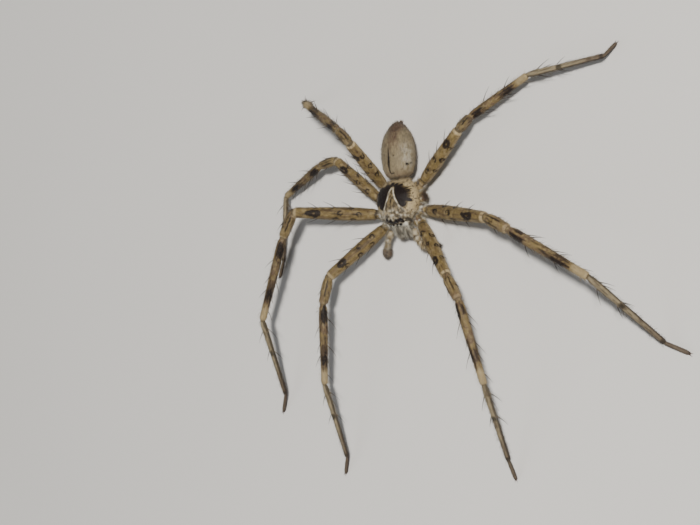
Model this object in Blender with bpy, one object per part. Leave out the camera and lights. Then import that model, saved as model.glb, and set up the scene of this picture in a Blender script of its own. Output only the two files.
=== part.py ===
"""Huntsman spider, adult male, life size, as a still model.

The spider stands on a floor with its head towards -Y, its left side towards +X
and +Z up.  The third left leg is lost and ends in a stump.
Lengths in this file are millimetres; objects are made in metres.
"""

import math

import bmesh
import bpy
from mathutils import Matrix, Vector

MM = 0.001

# Gaps between neighbouring pieces
JOINT_GAP = 0.20
EYE_GAP = 0.06

# Body: u runs to the spider's left, v to its tail, z up, from under the prosoma
BODY_AT = (0.93, 0.50)
BODY_TURN = 2.5

CARAPACE_FRONT = -3.90
CARAPACE_LENGTH = 7.75
CARAPACE_WIDTH = 8.3
CARAPACE_FRONT_WIDTH = 4.4
CARAPACE_UNDERSIDE = 5.62
CARAPACE_MARGIN = 5.80
CARAPACE_TOP = 8.30
# Share of the length from the front, share of the height over the margin
CARAPACE_RISE = (
    (0.0, 0.22), (0.025, 0.46), (0.07, 0.64), (0.16, 0.77), (0.32, 0.92), (0.48, 1.0),
    (0.66, 0.97), (0.82, 0.77), (0.93, 0.49), (1.0, 0.24),
)
CARAPACE_WIDEST_SHARE = 0.55
# Powers of the outline before and behind its widest place, and of the dome across
CARAPACE_FRONT_CURVE = 1.35
CARAPACE_REAR_CURVE = 2.6
CARAPACE_REAR_REACH = 0.86
CARAPACE_REAR_TAPER = 0.10
DOME_CURVE = 0.85
CARAPACE_STATIONS = 13
CARAPACE_ARC_STEPS = 14

STERNUM_LENGTH = 4.4
STERNUM_WIDTH = 3.3
STERNUM_LOW = 3.35
STERNUM_HIGH = 5.45
STERNUM_SIDES = 14
STERNUM_REAR_NARROWING = 0.12
# Share of the height from below, share of the full width
STERNUM_PROFILE = ((0.0, 0.55), (0.35, 0.95), (0.8, 1.0), (1.0, 0.94))

# Mouthparts: the two endites beside the mouth and the labium between them
ENDITE_ROOT = (0.95, -1.60, 4.05)
ENDITE_TIP = (0.52, -3.12, 3.62)
ENDITE_RADIUS = 0.44
LABIUM_ROOT = (0.0, -1.70, 3.85)
LABIUM_TIP = (0.0, -2.62, 3.66)
LABIUM_RADIUS = 0.40
# Share of the length, share of the radius
MOUTHPART_PROFILE = ((0.0, 0.80), (0.45, 1.0), (0.80, 0.86), (1.0, 0.45))
MOUTHPART_SIDES = 8

ABDOMEN_FRONT = (-0.25, 4.25)
ABDOMEN_TURN = 4.5
ABDOMEN_LENGTH = 9.7
ABDOMEN_WIDTH = 6.15
ABDOMEN_HEIGHT = 5.1
ABDOMEN_MIDDLE_Z = 5.15
ABDOMEN_TAIL_DROP = 0.55
# Share of the length from the front, share of the half width
ABDOMEN_PROFILE = (
    (0.0, 0.46), (0.03, 0.63), (0.10, 0.80), (0.24, 0.95), (0.42, 1.0), (0.60, 0.95),
    (0.75, 0.81), (0.87, 0.59), (0.95, 0.38), (1.0, 0.22),
)
ABDOMEN_STATIONS = 13
ABDOMEN_SIDES = 18
PEDICEL_RADIUS = 0.50
PEDICEL_FRONT_RADIUS = 0.45
PEDICEL_FRONT = -1.70
PEDICEL_REAR = -0.05
PEDICEL_Z = 4.85

SPINNERET_RADIUS = 0.34
SPINNERET_TIP_RADIUS = 0.14
SPINNERET_LENGTH = 0.45
SPINNERET_SPREAD = 0.5
SPINNERET_LIFT = 0.4
SPINNERET_SIDES = 6
SPINNERET_SUNK = 0.60
SPINNERET_Z = 4.05
# Offset to the side, offset up, share of the full size
SPINNERETS = ((0.30, 0.10, 1.0), (-0.30, 0.10, 1.0), (0.26, -0.30, 0.8), (-0.26, -0.30, 0.8))

# Eyes: half spacing, place along the body, height, radius
EYES = {
    "front_middle": (0.37, -3.76, 6.84, 0.20),
    "front_side": (1.05, -3.70, 6.77, 0.27),
    "back_middle": (0.55, -3.28, 7.42, 0.18),
    "back_side": (1.42, -3.00, 7.30, 0.22),
}
EYE_SIDES = 8
EYE_RINGS = 6

CHELICERA_ROOT = (0.92, -3.75, 5.10)
CHELICERA_END = (0.84, -5.35, 3.05)
CHELICERA_RADIUS = 0.88
CHELICERA_SIDES = 10
CHELICERA_WIDTH_SHARE = 0.92
CHELICERA_DEPTH_SHARE = 1.05
# Share of the length, share of the radius
CHELICERA_PROFILE = ((0.0, 0.62), (0.15, 0.86), (0.45, 1.0), (0.75, 0.86), (0.93, 0.60), (1.0, 0.34))
FANG_PLACE = 0.84
FANG_DIRECTION = (-0.55, 0.75, -0.35)
FANG_LENGTH = 1.1
FANG_RADIUS = 0.26
FANG_TIP_RADIUS = 0.06
FANG_SIDES = 5

# Palps: root, knee, wrist and tip of each one, on the body
PALPS = {
    "right": ((-2.30, -4.35, 4.55), (-3.10, -5.90, 4.75), (-4.20, -7.05, 3.45), (-5.55, -8.50, 1.55)),
    "left": ((2.25, -4.35, 4.55), (2.80, -5.95, 4.80), (3.15, -7.60, 3.20), (5.40, -7.05, 1.40)),
}
PALP_RADIUS = 0.53
# Share of the upper arm from root to knee, then of the lower arm from knee to wrist
PALP_UPPER_SHARES = (0.0, 0.5, 0.82)
PALP_LOWER_SHARES = (0.18, 0.6)
PALP_ARM_SIZES = (0.78, 1.0, 0.94, 0.98, 0.94, 0.82)
PALP_BULB_RADIUS = 0.76
# Share of the bulb's length, share of its radius
PALP_BULB_PROFILE = ((0.0, 0.60), (0.22, 0.90), (0.50, 1.0), (0.76, 0.80), (0.93, 0.48), (1.0, 0.20))
PALP_SIDES = 10

# Legs: lengths of femur, patella, tibia, metatarsus and tarsus
SEGMENTS = ("femur", "patella", "tibia", "metatarsus", "tarsus")
SEGMENT_LENGTHS = {
    1: (13.0, 4.7, 13.9, 13.9, 3.8),
    2: (15.4, 5.0, 15.5, 15.4, 4.0),
    3: (11.4, 4.1, 11.3, 12.2, 3.4),
    4: (11.8, 3.8, 11.8, 12.4, 3.4),
}
LEG_STOUTNESS = {1: 1.00, 2: 1.05, 3: 0.94, 4: 0.97}

# Each coxa runs from the sternum to the femur; u is for the left side
COXA_INNER = {1: (1.95, -2.05), 2: (2.25, -0.80), 3: (2.20, 0.62), 4: (1.80, 1.95)}
COXA_OUTER = {1: (3.60, -3.50), 2: (4.80, -1.40), 3: (4.70, 1.00), 4: (3.95, 3.35)}
COXA_Z = 4.45
COXA_SIDES = 10
STUMP_LENGTH = 2.3

# Pose: heading of each segment in degrees from +X, and height of its far end
POSE = {
    "right_1": ((-132, -102, -94, -86, -114), (9.7, 9.8, 7.5, 1.7)),
    "right_2": ((179, -121, -110, -93, -116), (11.2, 10.7, 9.4, 1.6)),
    "right_3": ((140, -171, -155, -100, -115), (6.3, 5.7, 3.1, 0.9)),
    "right_4": ((88, 139, 149, 163, 158), (14.7, 14.2, 11.3, 1.4)),
    "left_1": ((-48, -53, -70, -88, -84), (9.1, 9.9, 9.4, 2.2)),
    "left_2": ((-9, -25, -28, -51, -23), (9.6, 10.5, 11.2, 1.1)),
    "left_4": ((41, 85, 30, 9, 68), (7.5, 4.6, 4.1, 2.4)),
}
FOOT_AXIS_HEIGHT = 0.17

# Radius along each segment: (share of its length, radius)
COXA_PROFILE = (
    (0.0, 0.50), (0.25, 0.72), (0.50, 0.88), (0.70, 0.98), (0.80, 0.86), (0.90, 0.98), (1.0, 0.90),
)
FEMUR_PROFILE = ((0.0, 0.86), (0.12, 1.00), (0.32, 1.13), (0.60, 1.06), (0.86, 0.94), (1.0, 0.90))
PATELLA_PROFILE = ((0.0, 0.84), (0.28, 0.92), (0.55, 0.90), (0.80, 0.84), (1.0, 0.76))
TIBIA_PROFILE = ((0.0, 0.72), (0.12, 0.78), (0.35, 0.76), (0.65, 0.67), (0.90, 0.61), (1.0, 0.56))
METATARSUS_PROFILE = ((0.0, 0.52), (0.10, 0.54), (0.45, 0.46), (0.80, 0.42), (1.0, 0.40))
TARSUS_PROFILE = ((0.0, 0.38), (0.20, 0.41), (0.60, 0.42), (0.82, 0.40), (0.92, 0.36), (1.0, 0.24))
STUMP_PROFILE = ((0.0, 0.50), (0.30, 0.74), (0.60, 0.90), (0.78, 0.98), (0.90, 0.84), (1.0, 0.60))
PROFILES = (FEMUR_PROFILE, PATELLA_PROFILE, TIBIA_PROFILE, METATARSUS_PROFILE, TARSUS_PROFILE)
SEGMENT_SIDES = (10, 10, 8, 8, 8)
# The last rings of a foot, and how many of the lowest corners of each lie on the floor
SOLE_RINGS = 2
SOLE_CORNERS = 3
RING_STEP = 0.05

# Spines: (share of segment length, degrees round from the top, length)
FEMUR_SPINES = (
    (0.30, -50, 2.0), (0.62, -58, 2.0), (0.36, 0, 1.8), (0.70, 4, 1.8), (0.30, 52, 2.0), (0.62, 60, 2.0),
)
TIBIA_SPINES = (
    (0.28, -75, 2.4), (0.64, -75, 2.2), (0.28, 75, 2.4), (0.64, 75, 2.2), (0.46, 0, 1.8),
    (0.20, -140, 2.4), (0.20, 140, 2.4), (0.56, -140, 2.2), (0.56, 140, 2.2),
)
METATARSUS_SPINES = ((0.16, -70, 2.0), (0.16, 70, 2.0), (0.36, -130, 1.8), (0.36, 130, 1.8))
SPINES = (FEMUR_SPINES, (), TIBIA_SPINES, METATARSUS_SPINES, ())
SPINE_LEAN = 38.0
SPINE_ROOT_RADIUS = 0.25
SPINE_TIP_RADIUS = 0.05
SPINE_SUNK = 0.30
SPINE_SIDES = 4
FLOOR_CLEARANCE = 0.30

CLAW_LENGTH = 0.62
CLAW_ROOT_RADIUS = 0.16
CLAW_SPREAD = 0.16
CLAW_SUNK = 0.28
CLAW_HEIGHT = 0.10
CLAW_DIRECTION = (0.86, 0.18, 0.34)
CLAW_TIP_RADIUS = 0.04
CLAW_SIDES = 4

# Finishes: base colour and roughness
FINISHES = {
    "carapace": ((0.42, 0.34, 0.21), 0.6),
    "abdomen": ((0.40, 0.33, 0.24), 0.7),
    "leg": ((0.36, 0.28, 0.15), 0.6),
    "foot": ((0.10, 0.06, 0.05), 0.8),
    "coxa": ((0.55, 0.49, 0.38), 0.7),
    "eye": ((0.01, 0.01, 0.012), 0.08),
}


def clear_scene():
    """Remove every object that a new file starts with."""
    for old in list(bpy.data.objects):
        bpy.data.objects.remove(old, do_unlink=True)


def finish_material(name):
    """A separate material in the named finish."""
    color, roughness = FINISHES[name]
    material = bpy.data.materials.new(name)
    material.use_nodes = True
    shader = material.node_tree.nodes["Principled BSDF"]
    shader.inputs["Base Color"].default_value = (*color, 1.0)
    shader.inputs["Roughness"].default_value = roughness
    shader.inputs["Metallic"].default_value = 0.0
    return material


def mesh_object(name, bm, finish, matrix, parent):
    """Turn a mesh in millimetres into a placed object in metres."""
    bmesh.ops.triangulate(bm, faces=bm.faces)
    bmesh.ops.recalc_face_normals(bm, faces=bm.faces)
    mesh = bpy.data.meshes.new(name)
    bm.to_mesh(mesh)
    bm.free()
    mesh.transform(Matrix.Scale(MM, 4))
    mesh.materials.append(finish_material(finish))
    mesh.shade_smooth()
    obj = bpy.data.objects.new(name, mesh)
    bpy.context.scene.collection.objects.link(obj)
    obj.parent = parent
    placed = matrix.copy()
    placed.translation = matrix.translation * MM
    obj.matrix_basis = placed
    return obj


def interpolate(profile, share):
    """Value of a profile of (share, value) pairs at a share."""
    for (low, first), (high, second) in zip(profile, profile[1:]):
        if share <= high:
            return first + (second - first) * (share - low) / (high - low)
    return profile[-1][1]


def along(start, end, top=Vector((0, 0, 1))):
    """Frame whose X axis runs from start to end, with Z as near to top as it can be."""
    x_axis = (end - start).normalized()
    y_axis = top.cross(x_axis).normalized()
    z_axis = x_axis.cross(y_axis)
    rotation = Matrix((x_axis, y_axis, z_axis)).transposed()
    return Matrix.Translation(start) @ rotation.to_4x4()


def skin_rings(bm, rings):
    """Join rings of points with faces and close both ends."""
    rows = [[bm.verts.new(point) for point in ring] for ring in rings]
    count = len(rows[0])
    for first, second in zip(rows, rows[1:]):
        for index in range(count):
            after = (index + 1) % count
            bm.faces.new((first[index], first[after], second[after], second[index]))
    bm.faces.new(rows[0])
    bm.faces.new(rows[-1])


def cone_mesh(bm, root, direction, length, root_radius, tip_radius, sides):
    """Add a closed tapered spike from root along direction."""
    frame = along(root, root + direction, Vector((0.31, 0.42, 0.85)))
    rings = []
    for reach, radius in ((0.0, root_radius), (length, tip_radius)):
        ring = []
        for step in range(sides):
            turn = math.tau * step / sides
            ring.append(frame @ Vector((reach, radius * math.cos(turn), radius * math.sin(turn))))
        rings.append(ring)
    skin_rings(bm, rings)


def keep_largest_surface(mesh):
    """Drop every closed surface of a mesh but the largest."""
    bm = bmesh.new()
    bm.from_mesh(mesh)
    unseen = set(bm.faces)
    groups = []
    while unseen:
        group = []
        frontier = [unseen.pop()]
        while frontier:
            face = frontier.pop()
            group.append(face)
            for edge in face.edges:
                for other in edge.link_faces:
                    if other in unseen:
                        unseen.remove(other)
                        frontier.append(other)
        groups.append(group)
    groups.sort(key=lambda faces: sum(face.calc_area() for face in faces))
    for group in groups[:-1]:
        bmesh.ops.delete(bm, geom=group, context="FACES")
    bm.to_mesh(mesh)
    bm.free()


def combine(obj, tools, operation):
    """Join closed meshes to an object, or cut them from it, and apply the result.

    The work is done in millimetres, because the solver is made for larger sizes.
    """
    group = bpy.data.collections.new("tools")
    bpy.context.scene.collection.children.link(group)
    helpers = []
    for index, bm in enumerate(tools):
        bmesh.ops.triangulate(bm, faces=bm.faces)
        bmesh.ops.recalc_face_normals(bm, faces=bm.faces)
        mesh = bpy.data.meshes.new("tool")
        bm.to_mesh(mesh)
        bm.free()
        helper = bpy.data.objects.new("tool_%d" % index, mesh)
        group.objects.link(helper)
        helpers.append(helper)
    obj.data.transform(Matrix.Scale(1.0 / MM, 4))
    home = obj.matrix_basis.copy()
    parent = obj.parent
    obj.parent = None
    obj.matrix_basis = Matrix.Identity(4)
    boolean = obj.modifiers.new("join", "BOOLEAN")
    boolean.operation = operation
    boolean.operand_type = "COLLECTION"
    boolean.collection = group
    boolean.solver = "EXACT"
    bpy.context.view_layer.update()
    evaluated = obj.evaluated_get(bpy.context.evaluated_depsgraph_get())
    joined = bpy.data.meshes.new_from_object(evaluated)
    obj.modifiers.remove(boolean)
    keep_largest_surface(joined)
    joined.transform(Matrix.Scale(MM, 4))
    obj.data = joined
    obj.parent = parent
    obj.matrix_basis = home
    for helper in helpers:
        bpy.data.objects.remove(helper, do_unlink=True)
    bpy.data.collections.remove(group)


def body_point(u, v, z):
    """A point of the body frame in the spider's frame."""
    turn = math.radians(BODY_TURN)
    x = BODY_AT[0] + u * math.cos(turn) - v * math.sin(turn)
    y = BODY_AT[1] + u * math.sin(turn) + v * math.cos(turn)
    return Vector((x, y, z))


def body_matrix():
    """Placement of everything that is modelled in the body frame."""
    turned = Matrix.Rotation(math.radians(BODY_TURN), 4, "Z")
    return Matrix.Translation((BODY_AT[0], BODY_AT[1], 0.0)) @ turned


def carapace_half_width(share):
    """Half width of the carapace from its front edge (0) to its rear edge (1)."""
    front = CARAPACE_FRONT_WIDTH / 2.0
    widest = CARAPACE_WIDTH / 2.0
    if share < CARAPACE_WIDEST_SHARE:
        rise = math.sin(0.5 * math.pi * (share / CARAPACE_WIDEST_SHARE)) ** CARAPACE_FRONT_CURVE
        return front + (widest - front) * rise
    back = (share - CARAPACE_WIDEST_SHARE) / (1.0 - CARAPACE_WIDEST_SHARE)
    curve = math.sqrt(max(1.0 - (CARAPACE_REAR_REACH * back) ** CARAPACE_REAR_CURVE, 0.0))
    return widest * curve * (1.0 - CARAPACE_REAR_TAPER * back)


def carapace_top(share):
    """Height of the carapace's midline from its front edge to its rear edge."""
    return CARAPACE_MARGIN + (CARAPACE_TOP - CARAPACE_MARGIN) * interpolate(CARAPACE_RISE, share)


def carapace_mesh():
    """Low dome with a narrow head region and a flat underside."""
    bm = bmesh.new()
    rings = []
    for station in range(CARAPACE_STATIONS):
        share = 0.5 - 0.5 * math.cos(math.pi * station / (CARAPACE_STATIONS - 1))
        v = CARAPACE_FRONT + share * CARAPACE_LENGTH
        half = carapace_half_width(share)
        top = carapace_top(share)
        ring = [(half, v, CARAPACE_UNDERSIDE)]
        for step in range(CARAPACE_ARC_STEPS + 1):
            turn = math.pi * step / CARAPACE_ARC_STEPS
            across = math.cos(turn)
            lift = math.sin(turn) ** DOME_CURVE
            z = CARAPACE_MARGIN + (top - CARAPACE_MARGIN) * lift
            ring.append((half * across, v, z))
        ring.append((-half, v, CARAPACE_UNDERSIDE))
        rings.append(ring)
    skin_rings(bm, rings)
    return bm


def sphere_mesh(center, radius):
    """Closed ball made of rings."""
    bm = bmesh.new()
    spin = Matrix.Translation(center)
    bmesh.ops.create_uvsphere(bm, u_segments=EYE_SIDES, v_segments=EYE_RINGS, radius=radius, matrix=spin)
    return bm


def eye_places():
    """Name, centre and radius of each of the eight eyes in the body frame."""
    places = []
    for row, (u, v, z, radius) in EYES.items():
        places.append(("eye_%s_left" % row, Vector((u, v, z)), radius))
        places.append(("eye_%s_right" % row, Vector((-u, v, z)), radius))
    return places


def make_prosoma(parent):
    """Carapace with eight eyes set in it, and the sternum with the mouthparts below."""
    carapace = mesh_object("carapace", carapace_mesh(), "carapace", body_matrix(), parent)
    sockets = [sphere_mesh(center, radius + EYE_GAP) for _, center, radius in eye_places()]
    combine(carapace, sockets, "DIFFERENCE")
    for name, center, radius in eye_places():
        mesh_object(name, sphere_mesh(center, radius), "eye", body_matrix(), parent)

    bm = bmesh.new()
    rings = []
    for share, widen in STERNUM_PROFILE:
        z = STERNUM_LOW + (STERNUM_HIGH - STERNUM_LOW) * share
        ring = []
        for step in range(STERNUM_SIDES):
            turn = math.tau * step / STERNUM_SIDES
            narrow = 1.0 - STERNUM_REAR_NARROWING * math.sin(turn)
            u = 0.5 * STERNUM_WIDTH * widen * narrow * math.cos(turn)
            v = 0.5 * STERNUM_LENGTH * widen * math.sin(turn)
            ring.append((u, v, z))
        rings.append(ring)
    skin_rings(bm, rings)
    sternum = mesh_object("sternum", bm, "coxa", body_matrix(), parent)
    combine(sternum, mouthpart_tools(), "UNION")


def mouthpart_tools():
    """Endites and labium, which close the mouth from below."""
    tools = []
    for root, tip, radius in (
        (ENDITE_ROOT, ENDITE_TIP, ENDITE_RADIUS),
        ((-ENDITE_ROOT[0], *ENDITE_ROOT[1:]), (-ENDITE_TIP[0], *ENDITE_TIP[1:]), ENDITE_RADIUS),
        (LABIUM_ROOT, LABIUM_TIP, LABIUM_RADIUS),
    ):
        start = Vector(root)
        path = [start.lerp(Vector(tip), share) for share, _ in MOUTHPART_PROFILE]
        radii = [radius * size for _, size in MOUTHPART_PROFILE]
        tools.append(bent_tube(path, radii, MOUTHPART_SIDES))
    return tools


def make_chelicera(side, sign, parent):
    """Stout jaw below the front edge of the carapace, with its fang folded inwards."""
    root = Vector((sign * CHELICERA_ROOT[0], *CHELICERA_ROOT[1:]))
    end = Vector((sign * CHELICERA_END[0], *CHELICERA_END[1:]))
    frame = along(root, end)
    bm = bmesh.new()
    rings = []
    length = (end - root).length
    for share, size in CHELICERA_PROFILE:
        width = CHELICERA_RADIUS * CHELICERA_WIDTH_SHARE * size
        depth = CHELICERA_RADIUS * CHELICERA_DEPTH_SHARE * size
        ring = []
        for step in range(CHELICERA_SIDES):
            turn = math.tau * step / CHELICERA_SIDES
            ring.append(Vector((share * length, width * math.cos(turn), depth * math.sin(turn))))
        rings.append(ring)
    skin_rings(bm, rings)
    jaw = mesh_object("chelicera_" + side, bm, "coxa", body_matrix() @ frame, parent)
    fang = bmesh.new()
    pointing = Vector((sign * FANG_DIRECTION[0], *FANG_DIRECTION[1:])).normalized()
    inward = frame.to_3x3().inverted() @ pointing
    root = Vector((length * FANG_PLACE, 0, 0))
    cone_mesh(fang, root, inward, FANG_LENGTH, FANG_RADIUS, FANG_TIP_RADIUS, FANG_SIDES)
    combine(jaw, [fang], "UNION")


def bent_tube(points, radii, sides, first_normal=None, last_normal=None):
    """Closed tube through points, its rings halving each bend and its ends square to the normals."""
    bm = bmesh.new()
    rings = []
    for index, point in enumerate(points):
        before = points[max(index - 1, 0)]
        after = points[min(index + 1, len(points) - 1)]
        facing = (after - before).normalized()
        if index == 0 and first_normal:
            facing = first_normal
        if index == len(points) - 1 and last_normal:
            facing = last_normal
        frame = along(point, point + facing)
        ring = []
        for step in range(sides):
            turn = math.tau * step / sides
            ring.append(frame @ Vector((0.0, radii[index] * math.cos(turn), radii[index] * math.sin(turn))))
        rings.append(ring)
    skin_rings(bm, rings)
    return bm


def make_palp(side, parent):
    """Palp of a male: a bent arm and the swollen last piece."""
    root, knee, wrist, tip = [Vector(point) for point in PALPS[side]]
    normal = mitre(knee, wrist, tip)
    arm_end = wrist - normal * JOINT_GAP * 0.5
    path = [root.lerp(knee, share) for share in PALP_UPPER_SHARES]
    path += [knee.lerp(wrist, share) for share in PALP_LOWER_SHARES] + [arm_end]
    radii = [PALP_RADIUS * size for size in PALP_ARM_SIZES]
    arm = bent_tube(path, radii, PALP_SIDES, last_normal=normal)
    mesh_object("palp_%s_arm" % side, arm, "coxa", body_matrix(), parent)
    start = wrist + normal * JOINT_GAP * 0.5
    path = []
    radii = []
    for share, size in PALP_BULB_PROFILE:
        path.append(start.lerp(tip, share))
        radii.append(PALP_BULB_RADIUS * size)
    bulb = bent_tube(path, radii, PALP_SIDES, first_normal=normal)
    mesh_object("palp_%s_bulb" % side, bulb, "coxa", body_matrix(), parent)


def abdomen_half_width(share):
    """Half width of the abdomen from its front (0) to its tail (1)."""
    return 0.5 * ABDOMEN_WIDTH * interpolate(ABDOMEN_PROFILE, share)


def abdomen_matrix():
    """Placement of the abdomen: its front is at v = 0 and its tail at v = its length."""
    turned = Matrix.Rotation(math.radians(ABDOMEN_TURN), 4, "Z")
    return body_matrix() @ Matrix.Translation((*ABDOMEN_FRONT, 0.0)) @ turned


def make_abdomen(parent):
    """Oval abdomen with the narrow waist in front of it and the spinnerets at its tail."""
    rings = [
        (PEDICEL_FRONT, PEDICEL_FRONT_RADIUS, PEDICEL_FRONT_RADIUS, PEDICEL_Z),
        (PEDICEL_REAR, PEDICEL_RADIUS, PEDICEL_RADIUS, PEDICEL_Z),
    ]
    for station in range(ABDOMEN_STATIONS):
        share = 0.5 - 0.5 * math.cos(math.pi * station / (ABDOMEN_STATIONS - 1))
        half = abdomen_half_width(share)
        tall = 0.5 * ABDOMEN_HEIGHT * (half / (0.5 * ABDOMEN_WIDTH)) ** DOME_CURVE
        middle = ABDOMEN_MIDDLE_Z - ABDOMEN_TAIL_DROP * share ** 2
        rings.append((share * ABDOMEN_LENGTH, half, tall, middle))
    loops = []
    for v, half, tall, middle in rings:
        loop = []
        for step in range(ABDOMEN_SIDES):
            turn = math.tau * step / ABDOMEN_SIDES
            loop.append((half * math.cos(turn), v, middle + tall * math.sin(turn)))
        loops.append(loop)
    bm = bmesh.new()
    skin_rings(bm, loops)
    abdomen = mesh_object("abdomen", bm, "abdomen", abdomen_matrix(), parent)
    combine(abdomen, spinneret_tools(), "UNION")


def spinneret_tools():
    """Two pairs of short spinnerets below the tail."""
    root = Vector((0.0, ABDOMEN_LENGTH - SPINNERET_SUNK, SPINNERET_Z))
    tools = []
    for u, z, size in SPINNERETS:
        spike = bmesh.new()
        direction = Vector((u * SPINNERET_SPREAD, 1.0, z * SPINNERET_LIFT)).normalized()
        place = root + Vector((u, 0.0, z))
        reach = SPINNERET_LENGTH * size + SPINNERET_SUNK
        root_radius = SPINNERET_RADIUS * size
        cone_mesh(spike, place, direction, reach, root_radius, SPINNERET_TIP_RADIUS, SPINNERET_SIDES)
        tools.append(spike)
    return tools


def leg_joints(name):
    """Ends of coxa and of the five outer segments of a leg, in the spider's frame."""
    side, number = name.split("_")
    sign = 1.0 if side == "left" else -1.0
    number = int(number)
    inner = COXA_INNER[number]
    outer = COXA_OUTER[number]
    joints = [body_point(sign * inner[0], inner[1], COXA_Z), body_point(sign * outer[0], outer[1], COXA_Z)]
    headings, heights = POSE[name]
    for length, heading, height in zip(SEGMENT_LENGTHS[number], headings, (*heights, FOOT_AXIS_HEIGHT)):
        rise = height - joints[-1].z
        run = math.sqrt(length ** 2 - rise ** 2)
        turn = math.radians(heading)
        joints.append(joints[-1] + Vector((run * math.cos(turn), run * math.sin(turn), rise)))
    return joints


def mitre(before, joint, after):
    """Unit normal of the plane that halves a bend."""
    arriving = (joint - before).normalized()
    leaving = (after - joint).normalized()
    return (arriving + leaving).normalized()


def segment_rings(frame, length, profile, stoutness, sides, start_plane, end_plane):
    """Rings of one leg segment, with its first and last ring laid in the mitre planes.

    At a sharp bend the rings beside an end are held back from its plane.
    """
    rings = []
    for share, radius in profile:
        ring = []
        for step in range(sides):
            turn = math.tau * step / sides
            across = stoutness * radius * math.cos(turn)
            raised = stoutness * radius * math.sin(turn)
            ring.append(Vector((share * length, across, raised)))
        rings.append(ring)
    for plane, order, way in ((start_plane, rings, -1.0), (end_plane, rings[::-1], 1.0)):
        if plane is None:
            continue
        point, normal = plane
        for place, ring in enumerate(order):
            for corner in ring:
                beyond = way * (corner - point).dot(normal) + place * RING_STEP
                if place == 0 or beyond > 0.0:
                    corner.x -= way * beyond / normal.x
    return rings


def spine_tools(frame, length, profile, stoutness, spines):
    """Tapered spines that lean towards the leg's end, each rooted in the segment."""
    tools = []
    for share, around, reach in spines:
        turn = math.radians(around)
        outward = Vector((0.0, math.sin(turn), math.cos(turn)))
        lean = math.radians(SPINE_LEAN)
        direction = Vector((math.cos(lean), 0, 0)) + outward * math.sin(lean)
        radius = interpolate(profile, share) * stoutness
        root = Vector((share * length, 0, 0)) + outward * radius - direction * SPINE_SUNK
        tip = frame @ (root + direction * (reach + SPINE_SUNK))
        if tip.z < FLOOR_CLEARANCE:
            continue
        tool = bmesh.new()
        cone_mesh(tool, root, direction, reach + SPINE_SUNK, SPINE_ROOT_RADIUS, SPINE_TIP_RADIUS, SPINE_SIDES)
        tools.append(tool)
    return tools


def make_leg(name, parent):
    """All six nodes of one whole leg."""
    joints = leg_joints(name)
    number = int(name[-1])
    stoutness = LEG_STOUTNESS[number]
    pieces = (("coxa", COXA_PROFILE, COXA_SIDES, "coxa"),) + tuple(
        (segment, profile, sides, "foot" if segment == "tarsus" else "leg")
        for segment, profile, sides in zip(SEGMENTS, PROFILES, SEGMENT_SIDES))
    for index, (segment, profile, sides, finish) in enumerate(pieces):
        start = joints[index]
        end = joints[index + 1]
        frame = along(start, end)
        inside = frame.inverted()
        start_plane = None
        end_plane = None
        if index > 0:
            normal = mitre(joints[index - 1], start, end)
            point = inside @ (start + normal * JOINT_GAP * 0.5)
            start_plane = (point, inside.to_3x3() @ normal)
        if index < len(SEGMENTS):
            normal = mitre(start, end, joints[index + 2])
            point = inside @ (end - normal * JOINT_GAP * 0.5)
            end_plane = (point, inside.to_3x3() @ normal)
        length = (end - start).length
        size = 1.0 if segment == "coxa" else stoutness
        rings = segment_rings(frame, length, profile, size, sides, start_plane, end_plane)
        if segment == "tarsus":
            rest_on_floor(rings, frame)
        bm = bmesh.new()
        skin_rings(bm, rings)
        obj = mesh_object("leg_%s_%s" % (name, segment), bm, finish, frame, parent)
        tools = []
        if index > 0:
            tools = spine_tools(frame, length, profile, size, SPINES[index - 1])
        if segment == "tarsus":
            tools = claw_tools(length)
        if tools:
            combine(obj, tools, "UNION")


def rest_on_floor(rings, frame):
    """Lay the sole of a foot flat on the floor at its tip, and keep the rest out of the floor."""
    outside = frame.inverted()
    for place, ring in enumerate(rings):
        lowest = sorted(ring, key=lambda corner: (frame @ corner).z)
        for order, corner in enumerate(lowest):
            world = frame @ corner
            on_floor = place >= len(rings) - SOLE_RINGS and order < SOLE_CORNERS
            if on_floor or world.z < 0.0:
                world.z = 0.0
                corner[:] = outside @ world


def claw_tools(length):
    """Two small claws at the tip of a foot."""
    tools = []
    for side in (-1.0, 1.0):
        claw = bmesh.new()
        root = Vector((length - CLAW_SUNK, side * CLAW_SPREAD, CLAW_HEIGHT))
        direction = Vector((CLAW_DIRECTION[0], side * CLAW_DIRECTION[1], CLAW_DIRECTION[2])).normalized()
        cone_mesh(claw, root, direction, CLAW_LENGTH, CLAW_ROOT_RADIUS, CLAW_TIP_RADIUS, CLAW_SIDES)
        tools.append(claw)
    return tools


def make_stump(parent):
    """Coxa and trochanter of the lost third left leg."""
    inner = body_point(*COXA_INNER[3], COXA_Z)
    outer = body_point(*COXA_OUTER[3], COXA_Z)
    frame = along(inner, outer)
    bm = bmesh.new()
    skin_rings(bm, segment_rings(frame, STUMP_LENGTH, STUMP_PROFILE, 1.0, COXA_SIDES, None, None))
    mesh_object("leg_left_3_stump", bm, "coxa", frame, parent)


def stand_on_origin(spider):
    """Move the whole spider so that the origin is on the floor under the middle of its box."""
    bpy.context.view_layer.update()
    corners = []
    for obj in bpy.data.objects:
        if obj.type == "MESH":
            corners.extend(obj.matrix_world @ vertex.co for vertex in obj.data.vertices)
    for axis in range(2):
        low = min(corner[axis] for corner in corners)
        high = max(corner[axis] for corner in corners)
        spider.location[axis] = -0.5 * (low + high)
    spider.location[2] = -min(corner[2] for corner in corners)


def main():
    clear_scene()
    spider = bpy.data.objects.new("spider", None)
    bpy.context.scene.collection.objects.link(spider)
    make_prosoma(spider)
    for side, sign in (("left", 1.0), ("right", -1.0)):
        make_chelicera(side, sign, spider)
        make_palp(side, spider)
    make_abdomen(spider)
    for name in POSE:
        make_leg(name, spider)
    make_stump(spider)
    stand_on_origin(spider)


main()
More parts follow.
